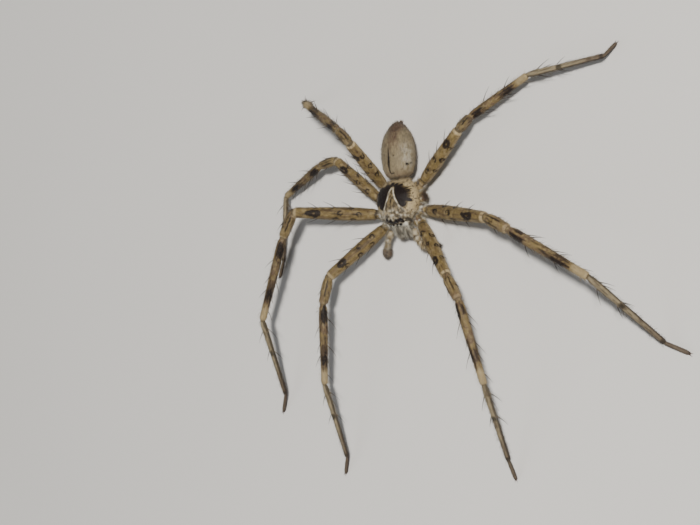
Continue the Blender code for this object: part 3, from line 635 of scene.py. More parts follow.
def survey(points):
    """What each point lies on and where.

    Zone and form are numbers. Share runs along the form from 0 to 1, run is the
    same in millimetres and wide goes across it. Turn is the angle round from the
    top, and front the same angle towards the front of the leg. Lie is the way of
    the hair.
    """
    count = len(points)
    found = {name: np.zeros(count) for name in ("share", "turn", "run", "wide", "front")}
    found.update(distance=np.full(count, 1e9), zone=np.zeros(count, int), form=np.zeros(count, int),
                 lie=np.tile(tail_way, (count, 1)))

    def keep(distance, **values):
        closer = distance < found["distance"]
        found["distance"] = np.where(closer, distance, found["distance"])
        for name, value in values.items():
            value = np.broadcast_to(value, found[name].shape)
            mask = closer if found[name].ndim == 1 else closer[:, None]
            found[name] = np.where(mask, value, found[name])

    body = to_body(points)
    height, half = carapace_height(body[:, 0], body[:, 1])
    past = np.maximum(np.abs(body[:, 0]) - half, 0)
    ends = np.maximum(CARAPACE_FRONT - body[:, 1], 0)
    ends = ends + np.maximum(body[:, 1] - CARAPACE_FRONT - CARAPACE_LENGTH, 0)
    distance = np.hypot(past, np.minimum(np.abs(body[:, 2] - height), np.abs(body[:, 2] - 5.66))) + ends
    distance = np.where(body[:, 2] < 5.4, distance + 1.0, distance)
    spread = np.stack([body[:, 0], body[:, 1] - 1.0], axis=1)
    outward = spread[:, :1] * side_way + spread[:, 1:] * tail_way
    outward /= np.linalg.norm(outward, axis=1)[:, None] + 1e-6
    keep(distance, zone=ZONE["carapace"], form=0, share=(body[:, 1] - CARAPACE_FRONT) / CARAPACE_LENGTH,
         turn=body[:, 0] / 4.2, run=body[:, 1], wide=body[:, 0], lie=outward)

    egg = to_abdomen(points)
    share = np.clip(egg[:, 1] / ABDOMEN_LENGTH, 0, 1)
    wide = smooth_profile(ABDOMEN_HALF, share)
    round_x = egg[:, 0] / (ABDOMEN_WIDE * wide)
    round_z = egg[:, 2] - ABDOMEN_MIDDLE + ABDOMEN_DROP * share ** 2
    round_z = round_z / (ABDOMEN_TALL * wide ** ABDOMEN_ROUNDNESS)
    ends = np.maximum(-1.9 - egg[:, 1], 0) + np.maximum(egg[:, 1] - ABDOMEN_LENGTH - 0.5, 0)
    distance = np.abs(np.hypot(round_x, round_z) - 1) * 2.2 * wide + ends + np.maximum(-egg[:, 1], 0) * 0.25
    keep(distance, zone=ZONE["abdomen"], form=1, share=share, turn=np.arctan2(round_x, round_z),
         run=egg[:, 1], wide=egg[:, 0], lie=abdomen_tail)

    flat = np.hypot(body[:, 0] / STERNUM_WIDE, body[:, 1] / STERNUM_LONG)
    distance = np.minimum(np.abs(flat - 1) * 1.7, np.abs(body[:, 2] - 3.42))
    distance = distance + np.maximum(flat - 1.05, 0) * 1.5
    mouth = np.hypot(np.abs(body[:, 0]) - 0.6, np.maximum(np.abs(body[:, 1] + 2.6) - 0.7, 0)) - 0.5
    distance = np.minimum(distance, np.maximum(mouth, 0) + np.maximum(body[:, 2] - 4.3, 0))
    distance = distance + np.maximum(body[:, 2] - 5.4, 0) * 3.0
    keep(distance, zone=ZONE["under"], form=2, share=(body[:, 1] + 3.6) / 6, turn=body[:, 0] / 2,
         run=body[:, 1], wide=body[:, 0], lie=-tail_way)

    forms = [("jaw", root, end, JAW_PROFILE, JAW_STOUTNESS, 0.0) for sign, root, end in jaw_tubes]
    forms += [(*palp_tube, 1.0, 0.0) for palp_tube in palp_tubes]
    forms += [(*tube, 1.0 if leg.startswith("right") else -1.0) for leg, *tube in tubes]
    for number, (zone, start, end, profile, stoutness, front_sign) in enumerate(forms, 3):
        distance, share, turn, radius, length, axes = tube_distance(points, start, end, profile, stoutness)
        keep(distance, zone=ZONE[zone], form=number, share=share, turn=turn, run=share * length,
             wide=turn * radius, lie=axes[0], front=turn * front_sign)
    return found


skin_survey = survey(points)
for name in ZONES:
    print("%-11s %6d points" % (name, int((skin_survey["zone"] == ZONE[name]).sum())))

# %% [markdown]
# ## Ragged edges
#
# No marking on an animal has a ruled edge. A cheap noise in numpy gives each
# point a value between -1 and 1 that changes smoothly over a chosen distance,
# and the edges of the markings are moved by it.

# %% Noise for the edges
def wobble(points, size, seed):
    """Smooth value noise; size is the width of one bump in millimetres."""
    cells = points / size + 100.0
    whole = np.floor(cells).astype(np.int64)
    part = cells - whole
    part = part * part * (3 - 2 * part)
    total = np.zeros(len(points))
    for corner in range(8):
        step = np.array([corner & 1, (corner >> 1) & 1, corner >> 2])
        key = whole + step
        mixed = key[:, 0] * 73856093 ^ key[:, 1] * 19349663 ^ key[:, 2] * 83492791 ^ (seed * 2654435761)
        mixed = (mixed ^ (mixed >> 13)) * 1274126177
        value = ((mixed ^ (mixed >> 16)) & 0xFFFF) / 32767.5 - 1.0
        weight = np.prod(np.where(step == 1, part, 1 - part), axis=1)
        total += value * weight
    return total


def soft(value, low, high):
    """0 below low, 1 above high and smooth between."""
    t = np.clip((value - low) / (high - low), 0, 1)
    return t * t * (3 - 2 * t)


def near(value, place, half, edge):
    """1 where the value is within half of the place, with a soft edge."""
    return soft(-np.abs(value - place), -half - edge, -half + edge)


def between(value, low, high, edge):
    """1 between low and high, with soft edges."""
    return soft(value, low - edge, low + edge) * soft(-value, -high - edge, -high + edge)


print("noise of one point:", wobble(points[:1], 0.5, 1).round(3))

# %% [markdown]
# ## Markings
#
# The markings are five masks: black, cream, white, grey and ruddy, laid over an
# olive ground. They follow the photograph. The front side of each leg, which a
# huntsman shows when it raises its legs, is marked more boldly than the rear.

# %% Markings of the legs
# share of the segment, degrees round from the top towards its front, length, ring: 0 none, 1 thin, 2 filled
LEG_SPINES = {
    "femur": ((0.23, 8, 1.9, 1), (0.44, 2, 2.0, 1), (0.75, 10, 2.0, 2), (0.30, 72, 2.1, 1),
              (0.50, 74, 2.2, 1), (0.71, 70, 2.2, 1), (0.33, -70, 2.0, 1), (0.52, -72, 2.1, 1),
              (0.73, -72, 2.1, 1)),
    "patella": ((0.52, 78, 1.2, 0), (0.52, -78, 1.2, 0)),
    "tibia": ((0.46, 0, 1.9, 0), (0.26, 72, 2.5, 0), (0.62, 74, 2.4, 0), (0.28, -74, 2.5, 0),
              (0.64, -74, 2.3, 0), (0.18, 138, 2.7, 0), (0.18, -138, 2.7, 0), (0.52, 140, 2.5, 0),
              (0.52, -140, 2.5, 0), (0.88, 142, 1.8, 0), (0.88, -142, 1.8, 0)),
    "metatarsus": ((0.14, 68, 2.4, 0), (0.14, -68, 2.4, 0), (0.12, 140, 2.6, 0), (0.12, -140, 2.6, 0),
                   (0.40, 60, 2.0, 0), (0.40, -60, 2.0, 0), (0.42, 138, 2.2, 0), (0.42, -138, 2.2, 0)),
}


def on(found, *zones):
    """Which points lie in one of the zones."""
    return np.isin(found["zone"], [ZONE[name] for name in zones])


def most(*masks):
    return np.maximum.reduce(masks)


def put(masks, here, **values):
    """Set masks where here is true."""
    for name, value in values.items():
        masks[name] = np.where(here, value, masks[name])


def ring_marks(found, points):
    """Dark, often open rings with a pale middle round the roots of the femur's spines."""
    swell = 1 + 0.30 * wobble(points, 0.9, 12)
    edge = 0.10 * wobble(points, 0.28, 11)
    black = np.zeros(len(points))
    for share, degrees, _, ring in LEG_SPINES["femur"]:
        along = (found["share"] - share) * 13.5
        round_mm = (found["front"] - math.radians(degrees)) * 1.05
        squeeze_along, squeeze_round = (0.55, 0.80) if ring == 2 else (0.92, 1.0)
        away = np.hypot(along * squeeze_along, round_mm * squeeze_round) * swell + edge
        opening = np.cos(np.arctan2(along, round_mm) - 1.9 * found["form"] - 23.0 * share)
        if ring == 1:
            mark = near(away, 0.36, 0.13, 0.04) * (1 - 0.75 * soft(opening, 0.55, 0.95))
        else:
            mark = soft(-away, -0.64, -0.52) * (1 - 0.7 * soft(-away, -0.14, -0.07))
        black = np.maximum(black, 0.95 * mark)
    return black


def leg_masks(found, points, masks):
    share, run, form = found["share"], found["run"], found["form"]
    degrees = np.degrees(found["front"])
    coarse, fine, finer = wobble(points, 1.1, 5), wobble(points, 0.45, 3), wobble(points, 0.2, 4)
    fibre = wobble(np.stack([run * 0.35, found["wide"] * 2.2, form * 7.0], 1), 0.5, 8)
    dash = soft(fibre, 0.40, 0.66)
    above = near(degrees, 0, 78, 22)

    base = near(share + 0.012 * fine, 0.045, 0.014, 0.008) * above
    collar = soft(share, 0.985, 0.995)
    put(masks, on(found, "femur"),
        black=most(ring_marks(found, points), 0.8 * base, 0.8 * collar, 0.34 * dash * above),
        ruddy=0.36 * soft(fibre + 0.6 * coarse, 0.10, 0.6) * above,
        cream=0.75 * soft(share, 0.945, 0.965) + 0.30 * (1 - above) + 0.24 * soft(fine, 0.1, 0.6))

    lines = near(np.abs(degrees), 36 + 9 * fine, 9, 4) * between(share + 0.08 * fibre, 0.10, 0.72, 0.05)
    middle = near(degrees + 10 * finer, 0, 7, 3) * between(share, 0.12, 0.46, 0.04)
    put(masks, on(found, "patella"),
        black=most(0.88 * lines, 0.75 * middle, 0.5 * dash) + 0.6 * soft(share, 0.975, 0.99),
        cream=0.16 + 0.52 * soft(share, 0.86, 0.93) + 0.2 * fine,
        ruddy=0.5 * soft(fine + coarse, 0.05, 0.6))

    ragged = share + 0.055 * fibre + 0.02 * fine
    first = between(ragged, 0.05, 0.235, 0.015)
    second = between(ragged, 0.50, 0.77, 0.02)
    heart = near(ragged, 0.665, 0.08, 0.012)
    on_front, on_back = near(degrees, 52, 54, 9), near(degrees + 10 * fine, -58, 24, 7)
    on_top = near(degrees, 0, 32, 11) * soft(finer, -0.5, 0.3)
    band = most(first * on_front, 0.85 * first * on_back * near(share, 0.13, 0.06, 0.015),
                second * on_front * (0.6 + 0.4 * heart), heart * most(0.8 * on_back, 0.65 * on_top))
    brown = 0.72 * soft(finer + fine + 0.5 * coarse, -0.1, 0.5) * between(share, 0.0, 0.79, 0.03)
    put(masks, on(found, "tibia"),
        black=most(band * (0.82 + 0.18 * soft(finer, -0.6, 0.2)), 0.75 * collar,
                   0.55 * dash * between(share, 0.02, 0.80, 0.02)),
        cream=0.16 + 0.46 * soft(share, 0.79, 0.85) + 0.15 * fine,
        grey=0.30 * soft(coarse, -0.2, 0.8),
        ruddy=most(brown, 0.6 * soft(band, 0.05, 0.4)))

    sides = near(np.abs(degrees), 78, 25, 10)
    dots = wobble(np.stack([run, form * 3.0, run * 0], 1), 0.5, 9)
    dots = near(degrees + 7 * fine, 0, 9, 4) * soft(dots, -0.35, 0.3)
    spot = near(share + 0.015 * fine, 0.42, 0.036, 0.010) * near(degrees, 0, 62, 15)
    start = soft(-share, -0.10, -0.06) * soft(np.abs(degrees), 25, 45)
    black = most(0.85 * sides, 0.7 * dots * soft(share, 0.06, 0.12), 0.92 * spot,
                 0.92 * between(share, 0.935, 0.99, 0.012), 0.8 * start, 0.5 * dash)
    put(masks, on(found, "metatarsus"),
        black=black * (0.85 + 0.15 * finer),
        grey=0.80 + 0.1 * fine,
        cream=0.24 + 0.16 * fine - 0.22 * soft(share, 0.5, 0.9),
        ruddy=0.42 * soft(share, 0.45, 0.95) + 0.4 * soft(np.abs(degrees), 110, 140) + 0.3 * dash)

    put(masks, on(found, "tarsus"),
        ruddy=0.52 + 0.2 * fine,
        grey=0.90,
        black=0.34 + 0.3 * soft(np.abs(degrees), 60, 110) + 0.35 * soft(share, 0.8, 0.95))

    broken = soft(share + 0.06 * fine, 0.72, 0.82) * on(found, "stump")
    spots = soft(coarse + 0.8 * fine, 0.12, 0.40)
    put(masks, on(found, "coxa", "stump"),
        cream=0.62 + 0.3 * fine,
        white=0.80 * soft(fine + 0.4 * finer, 0.0, 0.4) * (1 - broken),
        ruddy=most(0.9 * near(share, 0.785, 0.022, 0.010), 0.8 * spots, 0.9 * broken),
        black=most(0.6 * near(share, 0.99, 0.02, 0.01), 0.6 * dash,
                   0.75 * soft(spots, 0.6, 1.0) * soft(finer, -0.2, 0.2),
                   0.6 * broken * soft(share, 0.86, 0.95)))


print("spines planned on a femur:", len(LEG_SPINES["femur"]))

# %% [markdown]
# The carapace carries the boldest marking: two black fields behind the eyes, a
# pale V between them, and rays that run out from the middle to the rim.

# %% Markings of the carapace
# distance of an arm of the V from the middle line, by place along the body
V_ARM = ((-4.0, 2.6), (-1.9, 2.25), (-1.3, 1.90), (-0.6, 1.30), (0.6, 0.66), (1.7, 0.30), (2.30, 0.06),
         (3.0, 0.0))
V_ARM_PLACES, V_ARM_REACHES = zip(*V_ARM)
# place and radius of the dark patches round the rear eyes
EYE_PATCHES = ((0.55, -3.24, 0.40), (-0.55, -3.22, 0.36), (1.40, -3.02, 0.42), (-1.40, -3.02, 0.40))


def carapace_masks(found, points, masks):
    body = to_body(points)
    u, v, z = body[:, 0], body[:, 1], body[:, 2]
    coarse, fine, finer = wobble(points, 1.2, 23), wobble(points, 0.4, 21), wobble(points, 0.17, 22)
    side = np.abs(u)
    angle = np.arctan2(side, -(v - 1.0))
    reach = np.hypot(side / 3.45, (v - 0.85) / np.where(v > 0.85, 2.30, 2.6))
    rays = wobble(np.stack([angle * 16.0, reach * 0.8, np.sign(u) * 5.0], 1), 1.0, 24)
    arm = np.interp(v, V_ARM_PLACES, V_ARM_REACHES) * np.where(u < 0, 0.80, 1.0)
    outside = side - arm - 0.28 - 0.07 * fine
    inside = soft(-reach - 0.10 * rays - 0.04 * fine, -1.06, -1.00)
    patch = inside * soft(outside, -0.05, 0.05) * soft(v + 0.35 * fine + 0.45 * rays, -1.45, -1.15)
    bridge = inside * soft(v + 0.10 * fine, 2.42, 2.55)
    gaps = soft(rays + 0.3 * finer, 0.20, 0.5) * soft(reach, 0.78, 1.0)
    patch = most(patch, bridge) * (1 - 0.55 * gaps)
    median = near(u + 0.03 * fine, 0.04, 0.06, 0.03) * between(v, -1.8, 2.0, 0.2)
    diamond = soft(-(np.abs(u - 0.04) / 0.26 + np.abs(v - 0.10) / 0.62), -1.05, -0.8)
    bar = v + 0.12 * np.cos(2.2 * u) + 0.18 * fine + 0.10 * finer
    eyes = near(bar, -3.24, 0.20, 0.05) * near(u, 0, 1.42, 0.10)
    for place_u, place_v, radius in EYE_PATCHES:
        away = np.hypot(u - place_u, v - place_v) / radius
        eyes = most(eyes, soft(-away - 0.6 * fine - 0.4 * finer, -1.12, -0.9))
    cheek = soft(-np.hypot((side - 2.40) / 0.40, (v + 2.90) / 0.36) - 0.25 * fine, -1.1, -0.8)
    brow = soft(-np.hypot((side - 0.95) / 0.50, (v + 2.42) / 0.24) - 0.35 * fine, -1.15, -0.7)
    head = soft(-outside, -0.02, 0.1) * soft(v, -2.9, -2.4)
    commas = soft(fine + 0.6 * finer + 0.3 * coarse, 0.08, 0.42) * np.maximum(head, 0.8 * soft(-v, 1.6, 2.2))
    rim = soft(reach + 0.10 * rays, 0.98, 1.06)
    flecks = soft(finer + 0.5 * fine, 0.30, 0.55)
    white_arm = near(side - arm, 0.12 + 0.05 * fine, 0.13, 0.05) * between(v, -1.75, 2.30, 0.35)
    stripe = soft(-(v + 3.60 - 0.12 * side) - 0.05 * fine, -0.05, 0.04)
    stripe = stripe * between(z, 5.95, 6.82 + 0.06 * fine, 0.05)
    stripe = stripe * soft(-side, -2.25, -2.0) * (1 - 0.40 * soft(fine + finer, 0.15, 0.6))
    black = most(patch, 0.75 * median, 0.85 * diamond, eyes, 0.85 * cheek, 0.7 * brow, 0.72 * commas,
                 0.75 * flecks * rim)
    put(masks, on(found, "carapace"),
        black=black * (1 - stripe),
        white=most(0.66 * white_arm, stripe) + 0.40 * soft(-v, 0.6, 2.0) * soft(finer - fine, 0.0, 0.5),
        cream=np.clip(0.72 * rim * soft(v, -2.6, -1.2) + 0.24 + 0.16 * fine, 0, 1),
        grey=0.85 * soft(-v, 0.2, 2.0) + 0.15 * soft(coarse, 0, 0.7),
        ruddy=0.40 * soft(finer + fine, 0.2, 0.8) * rim + 0.12 * soft(coarse, 0.1, 0.6) * head)


print("dark patches round eyes:", len(EYE_PATCHES))

# %% [markdown]
# The abdomen is plainer: grey and olive hair, painted shade along a crease off its middle line and across the
# fold at its front, paler flanks in front and a brown tail.

# %% Markings of the abdomen, jaws and palps
MASK_NAMES = ("black", "cream", "white", "grey", "ruddy")
# cream, white, grey and ruddy of a palp's first pieces
PALP_TONES = {
    "palp_base": (0.55, 0.30, 0.35, 0.15),
    "palp_knee": (0.62, 0.45, 0.20, 0.10),
    "palp_shin": (0.55, 0.35, 0.25, 0.15),
}


def body_masks(found, points, masks):
    coarse, fine, finer = wobble(points, 1.5, 33), wobble(points, 0.5, 31), wobble(points, 0.2, 32)
    share = found["share"]
    egg = to_abdomen(points)
    a, b, z = egg[:, 0], egg[:, 1], egg[:, 2]
    above = soft(z, 4.6, 6.0)
    path = -0.45 + 0.12 * soft(b, 1.0, 3.5) + 0.04 * fine
    thick = 0.09 + 0.15 * np.exp(-((b - 2.5) / 1.2) ** 2)
    # painted shade: black along a crease off the middle line, where shade falls in the fold
    crease = soft(-np.abs(a - path) / thick, -1.3, -0.7) * between(b, 0.62, 4.9, 0.12)
    # painted shade across the fold at the front of the abdomen
    front_fold_shade = near(b + 0.1 * fine, 0.66, 0.11, 0.05) * between(a, -0.48, 0.30, 0.07)
    dots = most(0.8 * soft(-np.hypot(a - 0.70, b - 3.5), -0.21, -0.10),
                soft(-np.hypot((a - 2.42) / 0.8, b - 1.85), -0.34, -0.18) * soft(finer, -0.3, 0.2),
                soft(-np.hypot((a - 2.82) / 0.8, b - 2.0), -0.28, -0.14) * soft(finer, -0.4, 0.1))
    flank = soft(np.abs(a) + 0.5 * coarse, 1.5, 2.4) * between(b, 1.0, 5.2, 0.9)
    smear = soft(-np.hypot((a - 0.5) / 1.3, (b - 7.0) / 2.6) - 0.25 * coarse - 0.15 * fine, -1.0, -0.4)
    smear = most(smear, 0.6 * soft(-np.hypot(a / 0.5, (b - 5.5) / 3.0), -1.0, -0.3))
    cloud = soft(fine + 0.6 * coarse + 0.4 * finer, 0.12, 0.70)
    low = soft(-z, -4.7, -3.5)
    pepper = 0.55 * soft(finer + 0.5 * fine, 0.60, 0.95)
    tail, shoulder = soft(b + 0.5 * fine, 7.3, 9.0), soft(-b - 0.3 * fine, -1.3, -0.3)
    put(masks, on(found, "abdomen"),
        black=most(crease, 0.9 * front_fold_shade, dots, pepper) * above + 0.2 * soft(b, 9.3, 9.9),
        white=0.26 * flank * above * soft(fine + finer, -0.5, 0.3),
        grey=0.64 + 0.12 * fine,
        cream=0.18 + 0.14 * fine + 0.14 * coarse,
        ruddy=np.clip(0.62 * smear + 0.64 * tail + 0.28 * shoulder + 0.40 * cloud + 0.35 * low, 0, 0.9))

    put(masks, on(found, "under"), cream=0.45 + 0.2 * fine, ruddy=0.30 + 0.2 * coarse)

    streaks = wobble(np.stack([found["run"] * 0.4, found["wide"] * 1.6, found["form"] * 9.0], 1), 0.35, 34)
    put(masks, on(found, "jaw"),
        grey=0.9,
        white=0.20 + 0.40 * soft(-streaks, -0.1, 0.5),
        black=0.62 * soft(streaks, 0.05, 0.5) + 0.5 * soft(share + 0.08 * fine, 0.78, 0.93),
        ruddy=0.4 * soft(share, 0.65, 0.9))

    joints = most(soft(share, 0.90, 0.97), soft(-share, -0.10, -0.03))
    spots = soft(fine + 0.5 * coarse, 0.40, 0.75)
    for name, (cream, white, grey, ruddy) in PALP_TONES.items():
        put(masks, on(found, name), cream=cream + 0.15 * fine, white=white * soft(fine, -0.4, 0.4),
            grey=grey, ruddy=ruddy + 0.5 * spots, black=most(0.75 * joints, 0.6 * spots))
    put(masks, on(found, "palp_bulb"),
        cream=0.28 + 0.15 * fine,
        white=0.15 * soft(fine, -0.4, 0.4),
        grey=0.60,
        ruddy=0.65 + 0.3 * spots,
        black=most(0.7 * soft(share + 0.1 * fine, 0.50, 0.95), 0.7 * soft(finer + fine, 0.1, 0.5)))


def markings(found, points):
    masks = {name: np.zeros(len(points)) for name in MASK_NAMES}
    leg_masks(found, points, masks)
    carapace_masks(found, points, masks)
    body_masks(found, points, masks)
    return {name: np.clip(mask, 0, 1) for name, mask in masks.items()}


def store(mesh, name, values, kind="FLOAT"):
    attribute = mesh.attributes.new(name, kind, "POINT")
    field = "value" if kind == "FLOAT" else "vector"
    attribute.data.foreach_set(field, np.asarray(values, np.float32).reshape(-1))


skin_masks = markings(skin_survey, points)
for name, mask in skin_masks.items():
    store(skin.data, name, mask)
grain = np.stack([skin_survey["run"], skin_survey["wide"], skin_survey["form"] * 5.0], axis=1)
store(skin.data, "grain", grain, "FLOAT_VECTOR")
print({name: round(float(mask.mean()), 3) for name, mask in skin_masks.items()})

# %% [markdown]
# ## Shader maths that reads like arithmetic
#
# A material is a little program of nodes. This class wraps one output socket,
# so that + - * and the rest make the Math nodes, and a finish can be written
# as an expression.

# %% Wrap sockets
class Value:
    """An output socket of a material's nodes, with arithmetic."""

    def __init__(self, tree, socket):
        self.tree = tree
        self.socket = socket

    def node(self, kind, settings=None, inputs=None, output=0):
        """Make a node, set its settings first and then its sockets."""
        node = self.tree.nodes.new(kind)
        for name, value in (settings or {}).items():
            setattr(node, name, value)
        for name, value in (inputs or {}).items():
            socket = node.inputs[name]
            if isinstance(value, Value):
                self.tree.links.new(value.socket, socket)
            elif socket.type == "RGBA" and len(value) == 3:
                socket.default_value = (*value, 1.0)
            else:
                socket.default_value = value
        return Value(self.tree, node.outputs[output])

    def math(self, operation, first, second):
        return self.node("ShaderNodeMath", {"operation": operation}, {0: first, 1: second})

    def __add__(self, other):
        return self.math("ADD", self, other)

    def __radd__(self, other):
        return self.math("ADD", other, self)

    def __sub__(self, other):
        return self.math("SUBTRACT", self, other)

    def __rsub__(self, other):
        return self.math("SUBTRACT", other, self)

    def __mul__(self, other):
        return self.math("MULTIPLY", self, other)

    def __rmul__(self, other):
        return self.math("MULTIPLY", other, self)

    def span(self, low, high, to_low=0.0, to_high=1.0):
        """Map low..high to to_low..to_high, and clamp."""
        return self.node("ShaderNodeMapRange", {"clamp": True},
                         {"Value": self, "From Min": low, "From Max": high,
                          "To Min": to_low, "To Max": to_high})

    def over(self, under, color):
        """Lay a colour over another one where this mask is 1."""
        return self.node("ShaderNodeMix", {"data_type": "RGBA"}, {0: self, 6: under, 7: color}, 2)

    def scaled(self, factors):
        """A vector stretched by a factor on each axis."""
        return self.node("ShaderNodeVectorMath", {"operation": "MULTIPLY"}, {0: self, 1: factors})


class Finish:
    """A material with one Principled shader, and its nodes as values."""

    def __init__(self, name, roughness, **constants):
        self.material = bpy.data.materials.new(name)
        self.material.use_nodes = True
        self.tree = self.material.node_tree
        self.shader = self.tree.nodes["Principled BSDF"]
        self.start = Value(self.tree, None)
        self.shader.inputs["Roughness"].default_value = roughness
        for key, value in constants.items():
            self.shader.inputs[key.replace("_", " ")].default_value = value

    def attribute(self, name, vector=False):
        return self.start.node("ShaderNodeAttribute", {"attribute_name": name}, output=1 if vector else 2)

    def noise(self, where, scale, detail):
        return self.start.node("ShaderNodeTexNoise", {"noise_dimensions": "3D"},
                               {"Vector": where, "Scale": scale, "Detail": detail, "Roughness": 0.55})

    def feed(self, socket, value):
        self.tree.links.new(value.socket, self.shader.inputs[socket])

    def bump(self, height, distance):
        self.feed("Normal", self.start.node("ShaderNodeBump", inputs={
            "Height": height, "Distance": distance, "Strength": 0.9}))


print("shader helpers ready")

# %% [markdown]
# ## The finish of skin and hair
#
# Cuticle under short hair is neither dull nor glossy. The ground is olive, the masks lay the other colours
# over it, and a noise that is stretched along each part gives the streaks of lying hair. The hair uses the
# same recipe, painted a little lighter as a painted highlight, since single hairs catch the light.

# %% Mix the finish
OLIVE = (0.188, 0.134, 0.048)
DARK_OLIVE = (0.088, 0.058, 0.022)
CREAM = (0.420, 0.330, 0.185)
WHITE = (0.740, 0.710, 0.610)
GREY = (0.205, 0.182, 0.135)
RUDDY = (0.072, 0.036, 0.027)
BLACK = (0.010, 0.006, 0.005)
BRIGHTEST = 0.82


def lit(color, factor):
    """A colour made brighter, up to a limit."""
    return tuple(min(part * factor, BRIGHTEST) for part in color)


def spider_finish(name, lift, streaks, bump):
    finish = Finish(name, 0.62, Sheen_Weight=0.06, Sheen_Roughness=0.5, Specular_IOR_Level=0.22)
    grain = finish.attribute("grain", vector=True)
    fibres = finish.noise(grain.scaled((0.7, 5.5, 1.0)), 2.2, 3.0)
    blotch = finish.noise(grain.scaled((1.0, 1.3, 1.0)), 1.1, 4.0)
    color = blotch.span(0.35, 0.65).over(lit(OLIVE, lift), lit(DARK_OLIVE, lift))
    color = (finish.attribute("grey") * 0.9).over(color, lit(GREY, lift))
    color = finish.attribute("cream").over(color, lit(CREAM, lift))
    color = finish.attribute("ruddy").over(color, RUDDY)
    color = finish.attribute("white").over(color, lit(WHITE, lift))
    light = fibres.span(0.50, 0.72, 0.0, streaks)
    color = light.over(color, lit(lit(CREAM, 1.25), lift))
    shade = fibres.span(0.48, 0.30, 0.0, streaks)
    color = shade.over(color, DARK_OLIVE)
    black = finish.attribute("black")
    color = black.over(color, BLACK)
    finish.feed("Base Color", color)
    finish.feed("Roughness", (fibres * 0.35 + 0.40) - black * 0.06)
    if bump:
        finish.bump(fibres + blotch * 0.6, bump * MM)
    return finish.material


skin_finish = spider_finish("haired cuticle", 1.0, 0.30, 0.05)
# painted highlight: the hair's finish is the skin's, made a little lighter all over
coat_finish = spider_finish("lying hair", 1.12, 0.22, 0.0)
skin.data.materials.clear()
skin.data.materials.append(skin_finish)
print("skin finish has %d nodes" % len(skin_finish.node_tree.nodes))

# %% [markdown]
# ## Where hair grows
#
# Hair needs a root, a direction and the markings under it. Roots are drawn at
# random over the faces of the skin, so many to a square millimetre, with a
# seed, so that each run gives the same coat. Each root borrows the survey and
# the masks of the skin where it stands.

# %% Draw roots on the skin
quads = np.zeros(len(skin.data.polygons) * 4, np.int32)
skin.data.polygons.foreach_get("vertices", quads)
quads = quads.reshape(-1, 4)
across = points[quads[:, 2]] - points[quads[:, 0]]
crossways = points[quads[:, 3]] - points[quads[:, 1]]
quad_area = 0.5 * np.linalg.norm(np.cross(across, crossways), axis=1)
DRAW = np.random.default_rng(7)


def draw_roots(per_square_mm):
    """Roots for a density given at every point of the skin."""
    weight = quad_area * per_square_mm[quads].mean(axis=1)
    total = np.cumsum(weight)
    count = int(total[-1] * (1.0))
    chosen = np.searchsorted(total, DRAW.random(count) * total[-1])
    chosen = np.clip(chosen, 0, len(quads) - 1)
    s, t = DRAW.random(count), DRAW.random(count)
    share = np.stack([(1 - s) * (1 - t), s * (1 - t), s * t, (1 - s) * t], axis=1)
    corners = quads[chosen]
    place = (points[corners] * share[:, :, None]).sum(axis=1)
    normal = (normals[corners] * share[:, :, None]).sum(axis=1)
    normal /= np.linalg.norm(normal, axis=1)[:, None]
    nearest = corners[np.arange(count), share.argmax(axis=1)]
    return place, normal, nearest


def zone_values(table, column):
    """A number for every point of the skin, from a column of a table by zone."""
    per_zone = np.array([table[name][column] if name in table else 0.0 for name in ZONES], float)
    return per_zone[skin_survey["zone"]]


print("skin area %.0f square mm" % quad_area.sum())

# %% [markdown]
# ## A map of the coat
#
# The coat is baked to an image when the model leaves Blender, so every hair
# needs a place on a map. The map has a field for each form, on which the share
# along the form runs one way and the turn round it the other. A hair gets a
# patch a few thousandths across, at the place of its root.

# %% Lay out the map
MAP_SIDE = 8
FIELD_EDGE = 0.04
BIG_FIELDS = [(0, 0), (2, 0)]
SMALL_FIELDS = [(column, row) for row in range(MAP_SIDE) for column in range(MAP_SIDE)
                if not (column < 4 and row < 2)]


def map_place(nearest):
    form = skin_survey["form"][nearest]
    share = np.clip(skin_survey["share"][nearest], 0, 1)
    turn = skin_survey["turn"][nearest]
    round_share = np.where(form == 0, turn * 0.5 + 0.5, turn / (2 * math.pi) + 0.5)
    fields = np.array(BIG_FIELDS + SMALL_FIELDS)[form]
    size = np.where(form < len(BIG_FIELDS), 2.0, 1.0)
    inner = 1 - 2 * FIELD_EDGE
    x = (fields[:, 0] + size * (FIELD_EDGE + inner * share)) / MAP_SIDE
    y = (fields[:, 1] + size * (FIELD_EDGE + inner * np.clip(round_share, 0, 1))) / MAP_SIDE
    return np.stack([x, y], axis=1)


print("fields on the map:", len(BIG_FIELDS + SMALL_FIELDS))

# %% [markdown]
# ## Hair as thin spikes
#
# A hair is a spike with three sides. A longer one has a bend as well: it leaves
# the skin at a steeper angle and then lies down along the body. Thousands of
# hairs are worked out at once as arrays, and go into one mesh.

# %% Grow hair
PATCH = 0.003
ROOT_DEPTH = 0.05
FLOOR_CLEARANCE = 0.02
LOWEST_ROOT = 0.12
DENSER = 1.45
BENT_SPIKE = [(0, 1, 4, 3), (1, 2, 5, 4), (2, 0, 3, 5), (3, 4, 6), (4, 5, 6), (5, 3, 6)]
PLAIN_SPIKE = [(0, 1, 3), (1, 2, 3), (2, 0, 3)]


